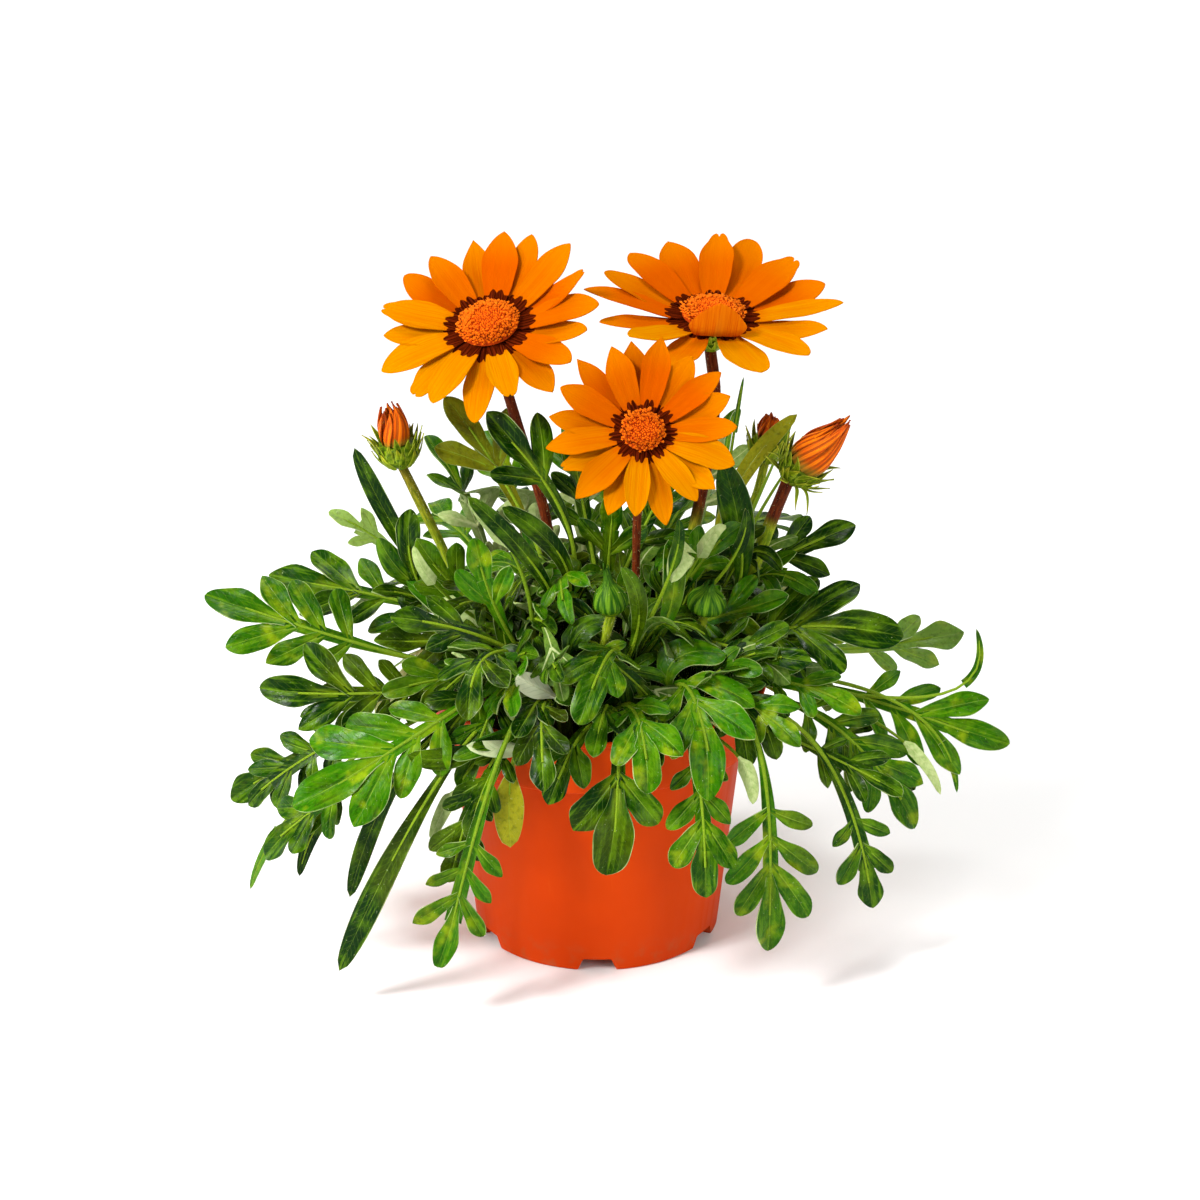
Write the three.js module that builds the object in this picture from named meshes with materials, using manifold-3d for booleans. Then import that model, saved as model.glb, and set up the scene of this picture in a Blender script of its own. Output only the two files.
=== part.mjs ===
// A gazania in its nursery pot: pot, soil, leafy shoots, three blooms and five buds.
// Millimetres, +Z up. The origin is the middle of the pot's underside and the front is -Y.

import * as THREE from "three";
import { mergeVertices } from "three/addons/utils/BufferGeometryUtils.js";
import Module from "manifold-3d";

const wasm = await Module();
wasm.setup();

// ---------------------------------------------------------------- driving dimensions

const GAP = 0.3;
const ROUND_SIDES = 36;

const POT = {
  height: 94,
  rimRadius: 60,
  lipHeight: 2,
  lipWidth: 0.8,
  collarFoot: 74,
  collarRadius: 57.5,
  shoulderRadius: 52,
  baseRadius: 44,
  wall: 1.2,
  padRadius: 29,
  channelHeight: 5,
  footWidth: 2,
  footRound: 0.8,
};

const NOTCH = { count: 6, topWidth: 9.7, footWidth: 14, height: 4.7, depth: 14 };

const SOIL = {
  level: 84,
  crown: 3,
  lump: 0.9,
  lumpDepth: 3,
  rings: 3,
  sides: 16,
  wallSides: 18,
  holeSides: 6,
};

const LEAF = {
  ribHalfWidth: 1.1,
  ribHalfThickness: 0.95,
  ribTaper: 0.25,
  bladeHalfThickness: 0.45,
  webHalfWidths: [1.4, 2.6],
  pairStep: 9.5,
  lobedShare: 0.92,
  lobeLengths: [0.62, 0.98],
  lobeDegrees: [64, 37],
  endLobe: 1.2,
  fold: 0.16,
  droop: 110,
};

const LONG_STALK = 50;
const LOBE = { heart: 0.55, lowerShoulder: 0.66, upperShoulder: 0.74 };

/** Share of the length, share of the half-width added to the stalk's own. */
const PLAIN_LEAF_ROWS = [
  [0, 0],
  [0.3, 0],
  [0.55, 0.75],
  [0.8, 1],
];

const SHOOT = { radius: 2.4, sides: 6, steps: 4, leafStart: 0.97, leafStep: 0.05 };
const STEM = { sink: 12, rise: 4, sides: 6, steps: 9 };
const PETAL = {
  halfThickness: 0.4,
  hubHalfThickness: 0.8,
  shoulder: 0.4,
  shoulderWidth: 0.8,
  belly: 0.76,
  curl: 0.12,
  layer: 0.8,
};
const DISC = { rings: 4, sides: 16, dome: 0.24, knob: 0.06, edge: 0.8 };
const CUP = { sides: 9, inner: 0.75 };

// ---------------------------------------------------------------- finishes

const finish = (color, roughness) => new THREE.MeshStandardMaterial({ color, roughness, metalness: 0 });

const POT_PLASTIC = finish(0xe14b14, 0.55);
const PEAT = finish(0x2a1c12, 0.95);
const LEAF_GREEN = finish(0x2f7a1c, 0.6);
const STEM_RED = finish(0x7c3a22, 0.6);
const PETAL_ORANGE = finish(0xf78a0a, 0.55);
const DISC_BROWN = finish(0xc2661a, 0.85);
const BUD_GREEN = finish(0x4f7f2a, 0.6);

// ---------------------------------------------------------------- solids

const at = (x, y, z) => new THREE.Vector3(x, y, z);
const radians = (degrees) => THREE.MathUtils.degToRad(degrees);
const between = ([from, to], share) => THREE.MathUtils.lerp(from, to, share);

/** A small repeatable wobble between -1 and 1. */
const wobble = (seed, step) => Math.sin(seed * 7.13 + step * 2.39);

const polar = (reach, degrees, height) =>
  at(reach * Math.cos(radians(degrees)), reach * Math.sin(radians(degrees)), height);

/** A manifold solid from corner points and triangles that close on themselves. */
function solidFrom(points, triangles) {
  let volume = 0;
  for (const [a, b, c] of triangles) {
    volume += points[a].dot(points[b].clone().cross(points[c]));
  }
  const outward = volume > 0 ? triangles : triangles.map(([a, b, c]) => [a, c, b]);
  return new wasm.Manifold(
    new wasm.Mesh({
      numProp: 3,
      vertProperties: new Float32Array(points.flatMap((point) => point.toArray())),
      triVerts: new Uint32Array(outward.flat()),
    }),
  );
}

/** A manifold solid from a closed three.js geometry. */
function solidOf(geometry) {
  geometry.deleteAttribute("normal");
  geometry.deleteAttribute("uv");
  const merged = mergeVertices(geometry, 1e-4);
  const position = merged.getAttribute("position");
  const points = [];
  for (let i = 0; i < position.count; i += 1) {
    points.push(new THREE.Vector3().fromBufferAttribute(position, i));
  }
  const index = merged.getIndex().array;
  const triangles = [];
  for (let i = 0; i < index.length; i += 3) {
    const [a, b, c] = [index[i], index[i + 1], index[i + 2]];
    if (a !== b && b !== c && c !== a) {
      triangles.push([a, b, c]);
    }
  }
  return solidFrom(points, triangles);
}

const fuse = (solids) => solids.reduce((whole, next) => whole.add(next));

/** A profile of [radius, height] points turned about the Z axis. */
function turned(profile, sides = ROUND_SIDES) {
  const points = profile.map(([radius, height]) => new THREE.Vector2(radius, height));
  return solidOf(new THREE.LatheGeometry(points, sides).rotateX(Math.PI / 2));
}

/** A round stalk along a curve. */
function stalk(curve, radius, sides, steps) {
  const section = new THREE.Shape();
  for (let i = 0; i < sides; i += 1) {
    const angle = (2 * Math.PI * i) / sides;
    const corner = [radius * Math.cos(angle), radius * Math.sin(angle)];
    if (i === 0) {
      section.moveTo(...corner);
    } else {
      section.lineTo(...corner);
    }
  }
  section.closePath();
  return solidOf(
    new THREE.ExtrudeGeometry(section, { extrudePath: curve, steps, bevelEnabled: false }),
  );
}

const plant = new THREE.Group();

function addPart(name, solid, material) {
  const mesh = solid.getMesh();
  const geometry = new THREE.BufferGeometry();
  geometry.setAttribute("position", new THREE.BufferAttribute(mesh.vertProperties, 3));
  geometry.setIndex(new THREE.BufferAttribute(mesh.triVerts, 1));
  geometry.computeVertexNormals();
  const part = new THREE.Mesh(geometry, material);
  part.name = name;
  plant.add(part);
}

// ---------------------------------------------------------------- blades

/** A midrib from base through mid to tip, with its upper side turned towards `face`. */
class Rib {
  constructor(base, mid, tip, face) {
    const bend = mid.clone().multiplyScalar(2).addScaledVector(base, -0.5).addScaledVector(tip, -0.5);
    this.curve = new THREE.QuadraticBezierCurve3(base, bend, tip);
    this.length = this.curve.getLength();
    this.face = face;
  }

  /** The point `along` the rib, `across` to its right and `lift` above it. */
  place(along, across, lift) {
    const share = THREE.MathUtils.clamp(along / this.length, 0, 1);
    const forward = this.curve.getTangentAt(share);
    const side = forward.clone().cross(this.face).normalize();
    const up = side.clone().cross(forward);
    const rise = lift + LEAF.fold * Math.abs(across) - (across * across) / LEAF.droop;
    return this.curve
      .getPointAt(share)
      .addScaledVector(forward, along - share * this.length)
      .addScaledVector(side, across)
      .addScaledVector(up, rise);
  }
}

/** Collects the two faces of a thin blade; an edge point lies in both faces. */
class Blade {
  constructor(rib) {
    this.rib = rib;
    this.points = [];
    this.triangles = [];
  }

  edge(along, across) {
    const index = this.points.push(this.rib.place(along, across, 0)) - 1;
    return [index, index];
  }

  core(along, across, halfThickness) {
    const top = this.points.push(this.rib.place(along, across, halfThickness)) - 1;
    const under = this.points.push(this.rib.place(along, across, -halfThickness)) - 1;
    return [top, under];
  }

  /** A row across the blade: its left and right edge and the midrib between them. */
  row(along, halfWidth, halfThickness) {
    return {
      left: this.edge(along, -halfWidth),
      middle: this.core(along, 0, halfThickness),
      right: this.edge(along, halfWidth),
    };
  }

  face(a, b, c, side = 1) {
    const [p, q] = side > 0 ? [b, c] : [c, b];
    this.triangles.push([a[0], p[0], q[0]], [a[1], q[1], p[1]]);
  }

  /** Both halves of the blade along a list of rows. */
  strips(rows) {
    for (let i = 1; i < rows.length; i += 1) {
      const [from, to] = [rows[i - 1], rows[i]];
      this.face(from.middle, from.right, to.right, 1);
      this.face(from.middle, to.right, to.middle, 1);
      this.face(from.middle, from.left, to.left, -1);
      this.face(from.middle, to.left, to.middle, -1);
    }
  }

  /** A lobe that grows forward and outward between two rows on one side. */
  lobe(from, to, side, start, length, halfWidth, angle) {
    const [near, far] = side > 0 ? [from.right, to.right] : [from.left, to.left];
    const spot = (reach, offset) => [
      start + reach * Math.cos(angle) + offset * Math.sin(angle),
      side * (reach * Math.sin(angle) - offset * Math.cos(angle)),
    ];
    const lower = this.edge(...spot(LOBE.lowerShoulder * length, -halfWidth));
    const tip = this.edge(...spot(length, 0));
    const upper = this.edge(...spot(LOBE.upperShoulder * length, halfWidth));
    const heart = this.core(...spot(LOBE.heart * length, 0), LEAF.bladeHalfThickness);
    const outline = [from.middle, near, lower, tip, upper, far];
    outline.forEach((point, i) => {
      this.face(point, outline[(i + 1) % outline.length], heart, side);
    });
    this.face(from.middle, far, to.middle, side);
  }

  /** Closes the near end of the first row. */
  cap({ left, middle, right }) {
    this.triangles.push([right[0], middle[0], left[0]], [right[0], left[0], middle[1]]);
  }

  solid() {
    return solidFrom(this.points, this.triangles);
  }
}

/** A leaf with no side lobes: a stalk that widens into a pointed blade. */
function plainLeaf(rib, halfWidth) {
  const blade = new Blade(rib);
  const rows = PLAIN_LEAF_ROWS.map(([share, widening]) =>
    blade.row(
      share * rib.length,
      between([LEAF.ribHalfWidth, halfWidth], widening),
      LEAF.ribHalfThickness * (1 - LEAF.ribTaper * share),
    ),
  );
  blade.cap(rows[0]);
  blade.strips(rows);
  const last = rows.at(-1);
  const tip = blade.edge(rib.length, 0);
  blade.face(last.middle, last.right, tip, 1);
  blade.face(last.middle, last.left, tip, -1);
  return blade.solid();
}

/** A gazania leaf: a stalk, `pairs` of side lobes and a lobe at the end. */
function lobedLeaf(rib, { pairs, lobe, broad, seed }) {
  const blade = new Blade(rib);
  const endLobe = LEAF.endLobe * lobe;
  const step = Math.min(LEAF.pairStep, (LEAF.lobedShare * rib.length - endLobe) / pairs);
  const start = rib.length - endLobe - pairs * step;
  const stalkShares = start > LONG_STALK ? [0, 0.35, 0.7] : [0, 0.5];
  const stalkRows = stalkShares.map((share) =>
    blade.row(share * start, LEAF.ribHalfWidth, LEAF.ribHalfThickness),
  );
  const rows = [];
  for (let i = 0; i <= pairs; i += 1) {
    const share = i / pairs;
    const thickness = LEAF.ribHalfThickness * (1 - LEAF.ribTaper * share);
    rows.push(blade.row(start + i * step, between(LEAF.webHalfWidths, share), thickness));
  }
  blade.cap(stalkRows[0]);
  blade.strips([...stalkRows, rows[0]]);
  for (let i = 0; i < pairs; i += 1) {
    const share = (i + 1) / pairs;
    const root = start + (i + 0.5) * step;
    for (const side of [1, -1]) {
      const length = lobe * (between(LEAF.lobeLengths, share) + 0.1 * wobble(seed, 2 * i + side));
      const degrees = between(LEAF.lobeDegrees, share) + 5 * wobble(seed, 5 + 3 * i - side);
      blade.lobe(rows[i], rows[i + 1], side, root, length, broad * length, radians(degrees));
    }
  }
  const last = rows.at(-1);
  const heartReach = rib.length - 0.5 * endLobe;
  const widestReach = rib.length - 0.42 * endLobe;
  const heart = blade.core(heartReach, 0, LEAF.bladeHalfThickness);
  const right = blade.edge(widestReach, broad * endLobe);
  const left = blade.edge(widestReach, -broad * endLobe);
  const tip = blade.edge(rib.length, 0);
  const outline = [last.middle, last.right, right, tip, left, last.left];
  outline.forEach((point, i) => {
    blade.face(point, outline[(i + 1) % outline.length], heart);
  });
  return blade.solid();
}

const leafSolid = (rib, form) =>
  form.pairs === 0 ? plainLeaf(rib, form.lobe * form.broad) : lobedLeaf(rib, form);

// ---------------------------------------------------------------- leafy shoots

/**
 * One leaf: a point on its midrib, its tip, how many degrees its face leans to the front,
 * its pairs of side lobes, the length of a lobe and half its width as a share of that.
 */
function leaf(mid, tip, lean, pairs, lobe, broad = 0.2) {
  return { mid, tip, lean, pairs, lobe, broad };
}

const SHOOTS = [
  {
    name: "shoot_left",
    foot: [-34, 2],
    top: [-40, -4, 101],
    leaves: [
      leaf([-69, -12, 107], [-137, -5, 127], 45, 3, 25),
      leaf([-61, -30, 101], [-116, -36, 103], 55, 3, 23),
      leaf([-55, 2, 113], [-82, 6, 110], 45, 2, 16),
    ],
  },
  {
    name: "shoot_left_back",
    foot: [-37, 15],
    top: [-42, 15, 106],
    leaves: [
      leaf([-72, 16, 117], [-118, 22, 123], 40, 2, 24),
      leaf([-62, 12, 122], [-66, 8, 152], 80, 1, 20),
      leaf([-66, 22, 131], [-86, 25, 171], 70, 1, 17),
    ],
  },
  {
    name: "shoot_front_left",
    foot: [-30, -16],
    top: [-34, -24, 103],
    leaves: [
      leaf([-49, -55, 103], [-100, -75, 76], 55, 3, 28, 0.21),
      leaf([-78, -34, 90], [-128, -34, 62], 50, 3, 18, 0.22),
      leaf([-48, -36, 108], [-72, -47, 107], 50, 2, 15),
    ],
  },
  {
    name: "shoot_front_left_low",
    foot: [-24, -28],
    top: [-30, -37, 101],
    leaves: [
      leaf([-66, -55, 90], [-116, -54, 50], 45, 2, 19, 0.22),
      leaf([-54, -68, 82], [-88, -70, 14], 60, 0, 44, 0.1),
      leaf([-62, -52, 86], [-86, -46, 30], 60, 0, 36, 0.09),
    ],
  },
  {
    name: "shoot_front",
    foot: [-12, -36],
    top: [-16, -42, 104],
    leaves: [
      leaf([-31, -70, 97], [-52, -80, 21], 65, 3, 19, 0.17),
      leaf([-27, -60, 99], [-48, -68, 92], 50, 0, 26, 0.12),
      leaf([-19, -57, 109], [-26, -80, 104], 50, 1, 15),
      leaf([-21, -52, 95], [-41, -74, 99], 60, 0, 22, 0.12),
      leaf([-18, -64, 108], [-17, -89, 90], 50, 2, 16, 0.22),
    ],
  },
  {
    name: "shoot_front_middle",
    foot: [2, -38],
    top: [2, -43, 94],
    leaves: [
      leaf([-6, -62, 97], [-16, -78, 80], 55, 1, 15, 0.24),
      leaf([7, -63, 101], [5, -84, 57], 60, 1, 24, 0.25),
      leaf([3, -57, 106], [-2, -78, 97], 50, 1, 15),
      leaf([12, -62, 107], [17, -89, 90], 50, 2, 18, 0.24),
    ],
  },
  {
    name: "shoot_front_right",
    foot: [18, -34],
    top: [22, -40, 97],
    leaves: [
      leaf([31, -52, 110], [39, -82, 85], 55, 3, 26),
      leaf([32, -66, 94], [36, -88, 50], 65, 3, 18, 0.22),
      leaf([20, -58, 103], [18, -78, 92], 50, 1, 15),
    ],
  },
  {
    name: "shoot_right_low",
    foot: [30, -27],
    top: [36, -34, 101],
    leaves: [
      leaf([54, -64, 94], [58, -72, 22], 60, 3, 24, 0.18),
      leaf([74, -46, 88], [96, -48, 26], 60, 2, 18, 0.2),
      leaf([50, -50, 104], [68, -66, 96], 55, 2, 15),
    ],
  },
  {
    name: "shoot_right_front",
    foot: [38, -14],
    top: [46, -20, 95],
    leaves: [
      leaf([80, -30, 89], [112, -40, 53], 55, 4, 21, 0.2),
      leaf([64, -30, 104], [90, -42, 98], 50, 2, 16),
    ],
  },
  {
    name: "shoot_right",
    foot: [42, -1],
    top: [52, -4, 99],
    leaves: [
      leaf([91, -10, 91], [145, -15, 73], 50, 3, 25, 0.17),
      leaf([62, -14, 117], [106, -20, 118], 50, 2, 28, 0.2),
      leaf([66, 4, 108], [90, 8, 106], 50, 2, 16),
    ],
  },
  {
    name: "shoot_right_back",
    foot: [42, 18],
    top: [50, 24, 99],
    leaves: [
      leaf([94, 45, 87], [137, 55, 91], 45, 2, 20, 0.22),
      leaf([68, 27, 108], [90, 36, 113], 40, 1, 16, 0.2),
    ],
  },
  {
    name: "shoot_right_high",
    foot: [31, 2],
    top: [40, 3, 121],
    leaves: [
      leaf([57, 10, 131], [92, 18, 145], 60, 2, 20, 0.2),
      leaf([50, -10, 137], [43, -14, 178], 70, 0, 44, 0.13),
      leaf([46, 9, 156], [70, 17, 186], 60, 1, 18, 0.18),
    ],
  },
  {
    name: "shoot_high",
    foot: [-13, -6],
    top: [-14, -8, 122],
    leaves: [
      leaf([-26, 2, 154], [-52, 8, 195], 60, 1, 22, 0.18),
      leaf([-10, -12, 154], [-38, -14, 195], 70, 1, 22, 0.19),
      leaf([-11, -22, 144], [-32, -26, 166], 70, 0, 28, 0.13),
      leaf([-19, -30, 143], [-43, -36, 173], 70, 0, 32, 0.1),
    ],
  },
  {
    name: "shoot_middle_left",
    foot: [-20, -18],
    top: [-22, -28, 112],
    leaves: [
      leaf([-37, -52, 122], [-42, -78, 112], 40, 2, 18, 0.21),
      leaf([-42, -38, 125], [-69, -46, 134], 60, 1, 18, 0.2),
      leaf([-34, -30, 130], [-41, -32, 156], 75, 1, 16, 0.22),
    ],
  },
  {
    name: "shoot_middle_right",
    foot: [19, -1],
    top: [23, -5, 116],
    leaves: [
      leaf([46, -30, 117], [72, -44, 117], 50, 2, 17),
      leaf([34, -11, 138], [48, -20, 158], 65, 1, 16),
      leaf([42, -14, 122], [66, -22, 132], 60, 2, 16),
    ],
  },
  {
    name: "shoot_centre",
    foot: [2, 0],
    top: [3, 3, 116],
    leaves: [
      leaf([16, 8, 146], [30, 14, 172], 60, 2, 17),
      leaf([-4, 14, 148], [-10, 22, 178], 50, 2, 17),
      leaf([4, -8, 140], [6, -16, 168], 70, 1, 17),
      leaf([-5, -8, 116], [-12, -22, 130], 60, 1, 16),
      leaf([12, 8, 120], [22, 18, 138], 60, 1, 16),
      leaf([-1, 16, 113], [-3, 36, 110], 30, 1, 13),
    ],
  },
  {
    name: "shoot_left_middle",
    foot: [-24, -3],
    top: [-28, -6, 112],
    leaves: [
      leaf([-46, -10, 128], [-62, -16, 150], 60, 2, 17),
      leaf([-48, -22, 116], [-76, -34, 120], 50, 2, 18),
      leaf([-24, -22, 124], [-14, -43, 128], 55, 1, 15),
    ],
  },
  {
    name: "shoot_middle",
    foot: [6, -23],
    top: [9, -33, 112],
    leaves: [
      leaf([4, -57, 125], [-5, -84, 113], 45, 2, 20, 0.22),
      leaf([14, -52, 138], [8, -58, 156], 60, 0, 20, 0.15),
      leaf([24, -34, 130], [24, -36, 158], 70, 0, 24, 0.16),
    ],
  },
];

/** The shoots behind the middle are alike, so one list of leaves serves them all. */
const BACK = {
  sectors: [46, 70, 93, 117, 141],
  footReach: 38,
  topReach: 44,
  topHeight: 104,
  lean: 30,
  broad: 0.19,
  headingWobble: 3,
  heightWobble: 7,
  reachWobble: 0.06,
  leaves: [
    { turn: -8, midReach: 76, midHeight: 97, reach: 114, height: 48, pairs: 3, lobe: 22 },
    { turn: 5, midReach: 78, midHeight: 112, reach: 122, height: 88, pairs: 3, lobe: 22 },
    { turn: -4, midReach: 68, midHeight: 132, reach: 104, height: 128, pairs: 2, lobe: 22 },
    { turn: 2, midReach: 55, midHeight: 146, reach: 74, height: 174, pairs: 2, lobe: 20 },
    { turn: 3, midReach: 44, midHeight: 116, reach: 50, height: 140, pairs: 1, lobe: 13 },
  ],
};

/** The curve of a stem that leaves the soil upright at foot and runs on through points. */
function stemCurve([x, y], ...points) {
  const low = at(x, y, SOIL.level - STEM.sink);
  const soil = at(x, y, SOIL.level + 1);
  const path = new THREE.CurvePath();
  path.add(new THREE.LineCurve3(low, soil));
  const first = soil.clone().add(at(0, 0, STEM.rise));
  path.add(new THREE.CatmullRomCurve3([soil, first, ...points], false, "centripetal"));
  return path;
}

const feet = [];

function addShoot(name, foot, top, leaves, seed) {
  const curve = stemCurve(foot, top);
  const solids = [stalk(curve, SHOOT.radius, SHOOT.sides, SHOOT.steps)];
  leaves.forEach(({ mid, tip, face, ...form }, i) => {
    const base = curve.getPointAt(SHOOT.leafStart - SHOOT.leafStep * i);
    solids.push(leafSolid(new Rib(base, mid, tip, face), { ...form, seed: seed + 0.37 * i }));
  });
  feet.push({ foot, radius: SHOOT.radius });
  addPart(name, fuse(solids), LEAF_GREEN);
}

SHOOTS.forEach(({ name, foot, top, leaves }, number) => {
  const placed = leaves.map(({ mid, tip, lean, ...form }) => ({
    ...form,
    mid: at(...mid),
    tip: at(...tip),
    face: at(0, -Math.sin(radians(lean)), Math.cos(radians(lean))),
  }));
  addShoot(name, foot, at(...top), placed, number);
});

BACK.sectors.forEach((sector, number) => {
  const seed = 20 + number;
  const foot = polar(BACK.footReach, sector, 0);
  const top = polar(BACK.topReach, sector, BACK.topHeight);
  const leaves = BACK.leaves.map((row, i) => {
    const heading = sector + row.turn + BACK.headingWobble * wobble(seed, i);
    const rise = BACK.heightWobble * wobble(seed, i + 4);
    const reach = row.reach * (1 + BACK.reachWobble * wobble(seed, i + 8));
    return {
      mid: polar(row.midReach, heading, row.midHeight + 0.4 * rise),
      tip: polar(reach, heading, row.height + rise),
      face: polar(Math.sin(radians(BACK.lean)), heading, Math.cos(radians(BACK.lean))),
      pairs: row.pairs,
      lobe: row.lobe,
      broad: BACK.broad,
    };
  });
  addShoot(`shoot_back_${number + 1}`, [foot.x, foot.y], top, leaves, seed);
});

// ---------------------------------------------------------------- blooms

const BLOOMS = [
  {
    name: "bloom_left",
    centre: [-37, 10, 219],
    axis: [-0.16, -0.47, 0.87],
    petals: 18,
    reach: 38,
    rise: 4.2,
    lean: 6.3,
    halfWidth: 5.2,
    discRadius: 11,
    cupHeight: 13,
    stemRadius: 1.9,
    foot: [-12, 9],
    via: [[-18, 5, 152], [-27, 7, 183]],
  },
  {
    name: "bloom_right",
    centre: [40, 20, 220],
    axis: [0.05, -0.25, 0.97],
    petals: 16,
    reach: 43,
    rise: 7,
    lean: 3,
    halfWidth: 6,
    discRadius: 12,
    cupHeight: 13,
    stemRadius: 2,
    foot: [20, 12],
    via: [[33, 12, 140], [41, 15, 190]],
  },
  {
    name: "bloom_front",
    centre: [15, -45, 198],
    axis: [0, -0.77, 0.64],
    petals: 19,
    reach: 31,
    rise: 4,
    lean: 2.5,
    halfWidth: 4.2,
    discRadius: 7.6,
    cupHeight: 11,
    stemRadius: 1.4,
    foot: [12, -13],
    via: [[13, -22, 120], [13.5, -31, 165]],
  },
];

/** The placing of a head whose middle is at centre and which faces along axis. */
function headFrame(centre, axis) {
  const facing = at(...axis).normalize();
  const turn = new THREE.Quaternion().setFromUnitVectors(at(0, 0, 1), facing);
  return new THREE.Matrix4().compose(at(...centre), turn, at(1, 1, 1));
}

/** The turn about a head's axis that points uphill. */
function uphillTurn(frame) {
  const uphill = at(0, 0, 1).transformDirection(frame.clone().invert());
  return Math.atan2(uphill.y, uphill.x);
}

/** Gathers corner points in a head's own frame, given as reach, turn and height. */
class HeadShell {
  constructor(frame) {
    this.frame = frame;
    this.points = [];
    this.triangles = [];
  }

  spot(reach, degrees, height) {
    return this.points.push(polar(reach, degrees, height).applyMatrix4(this.frame)) - 1;
  }

  edge(reach, degrees, height) {
    const index = this.spot(reach, degrees, height);
    return [index, index];
  }

  /** Both faces of a blade at a point of a profile, half a thickness to either side. */
  core([reach, height], [outward, upward], degrees, half) {
    return [half, -half].map((offset) =>
      this.spot(reach + offset * outward, degrees, height + offset * upward),
    );
  }

  face(a, b, c) {
    this.triangles.push([a[0], b[0], c[0]], [a[1], c[1], b[1]]);
  }

  solid() {
    return solidFrom(this.points, this.triangles);
  }
}

/** A domed floret disc whose surface is raised in small knobs. */
function floretDisc(frame, radius) {
  const { rings, sides } = DISC;
  const shell = new HeadShell(frame);
  const floor = PETAL.hubHalfThickness + GAP;
  const crown = floor + DISC.edge + DISC.dome * radius;
  const turn = (i, j) => (360 * (j + 0.5 * (i % 2))) / sides;
  const ring = (i) =>
    Array.from({ length: sides }, (_, j) => {
      const knob = (i + j) % 2 === 0 ? DISC.knob * radius : 0;
      const fall = DISC.dome * radius * (i / rings) ** 3;
      return shell.spot((radius * i) / rings, turn(i, j), crown - fall + knob);
    });
  const top = shell.spot(0, 0, crown);
  const under = shell.spot(0, 0, floor);
  const circles = Array.from({ length: rings }, (_, i) => ring(i + 1));
  circles.push(Array.from({ length: sides }, (_, j) => shell.spot(radius, turn(rings, j), floor)));
  for (let j = 0; j < sides; j += 1) {
    const next = (j + 1) % sides;
    shell.triangles.push([top, circles[0][j], circles[0][next]]);
    for (let i = 1; i < circles.length; i += 1) {
      const [inner, outer] = [circles[i - 1], circles[i]];
      if (i % 2 === 1 && i < rings) {
        shell.triangles.push([inner[j], outer[j], outer[next]], [inner[j], outer[next], inner[next]]);
      } else {
        shell.triangles.push([inner[j], outer[j], inner[next]], [inner[next], outer[j], outer[next]]);
      }
    }
    shell.triangles.push([circles.at(-1)[j], under, circles.at(-1)[next]]);
  }
  return shell.solid();
}

/** Ray petals joined in one hub; profile(i, share) gives a petal's [reach, height]. */
function rayPetals(frame, count, root, halfWidth, profile) {
  const shell = new HeadShell(frame);
  const pitch = 360 / count;
  const [, floor] = profile(0, 0);
  const hub = shell.core([0, floor], [0, 1], 0, PETAL.hubHalfThickness);
  const corners = Array.from({ length: count }, (_, i) => shell.edge(root, (i - 0.5) * pitch, floor));
  const row = (i, share, half) => {
    const [reach, height] = profile(i, share);
    const [nextReach, nextHeight] = profile(i, share + 0.01);
    const slope = Math.hypot(nextReach - reach, nextHeight - height);
    const normal = [(height - nextHeight) / slope, (nextReach - reach) / slope];
    const spread = THREE.MathUtils.radToDeg(half / reach);
    const curl = PETAL.curl * half;
    const side = [reach + curl * normal[0], height + curl * normal[1]];
    return [
      shell.edge(side[0], i * pitch - spread, side[1]),
      shell.core([reach, height], normal, i * pitch, PETAL.halfThickness),
      shell.edge(side[0], i * pitch + spread, side[1]),
    ];
  };
  for (let i = 0; i < count; i += 1) {
    const collar = shell.core([root, floor], [0, 1], i * pitch, 0.8 * PETAL.hubHalfThickness);
    const [low, low0, low1] = row(i, PETAL.shoulder, PETAL.shoulderWidth * halfWidth);
    const [high, high0, high1] = row(i, PETAL.belly, halfWidth);
    const [endReach, endHeight] = profile(i, 1);
    const tip = shell.edge(endReach, i * pitch, endHeight);
    const [before, after] = [corners[i], corners[(i + 1) % count]];
    shell.face(hub, before, collar);
    shell.face(hub, collar, after);
    shell.face(before, low, low0);
    shell.face(before, low0, collar);
    shell.face(collar, low0, after);
    shell.face(low0, low1, after);
    shell.face(low, high, low0);
    shell.face(low0, high, high0);
    shell.face(low0, high0, high1);
    shell.face(low0, high1, low1);
    shell.face(high, tip, high0);
    shell.face(high0, tip, high1);
  }
  return shell.solid();
}

/** A green cup from its foot up through the profile, with pointed bracts round its rim. */
function bractCup(frame, profile, bractTip) {
  const { sides } = CUP;
  const shell = new HeadShell(frame);
  const pitch = 360 / sides;
  const rings = profile.map(([reach, height]) =>
    Array.from({ length: sides }, (_, i) => shell.spot(reach, i * pitch, height)),
  );
  const [rimReach, rimHeight] = profile.at(-1);
  const bottom = shell.spot(0, 0, profile[0][1]);
  const middle = shell.spot(0, 0, rimHeight);
  for (let i = 0; i < sides; i += 1) {
    const next = (i + 1) % sides;
    const [first, last] = [rings[0], rings.at(-1)];
    const inner = shell.spot(CUP.inner * rimReach, (i + 0.5) * pitch, rimHeight);
    const tip = shell.spot(bractTip[0], (i + 0.5) * pitch, bractTip[1]);
    shell.triangles.push(
      [bottom, first[next], first[i]],
      [last[i], last[next], tip],
      [last[next], inner, tip],
      [inner, last[i], tip],
      [last[i], inner, middle],
      [inner, last[next], middle],
    );
    for (let k = 1; k < rings.length; k += 1) {
      const [under, over] = [rings[k - 1], rings[k]];
      shell.triangles.push([under[i], under[next], over[next]], [under[i], over[next], over[i]]);
    }
  }
  return shell.solid();
}

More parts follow.
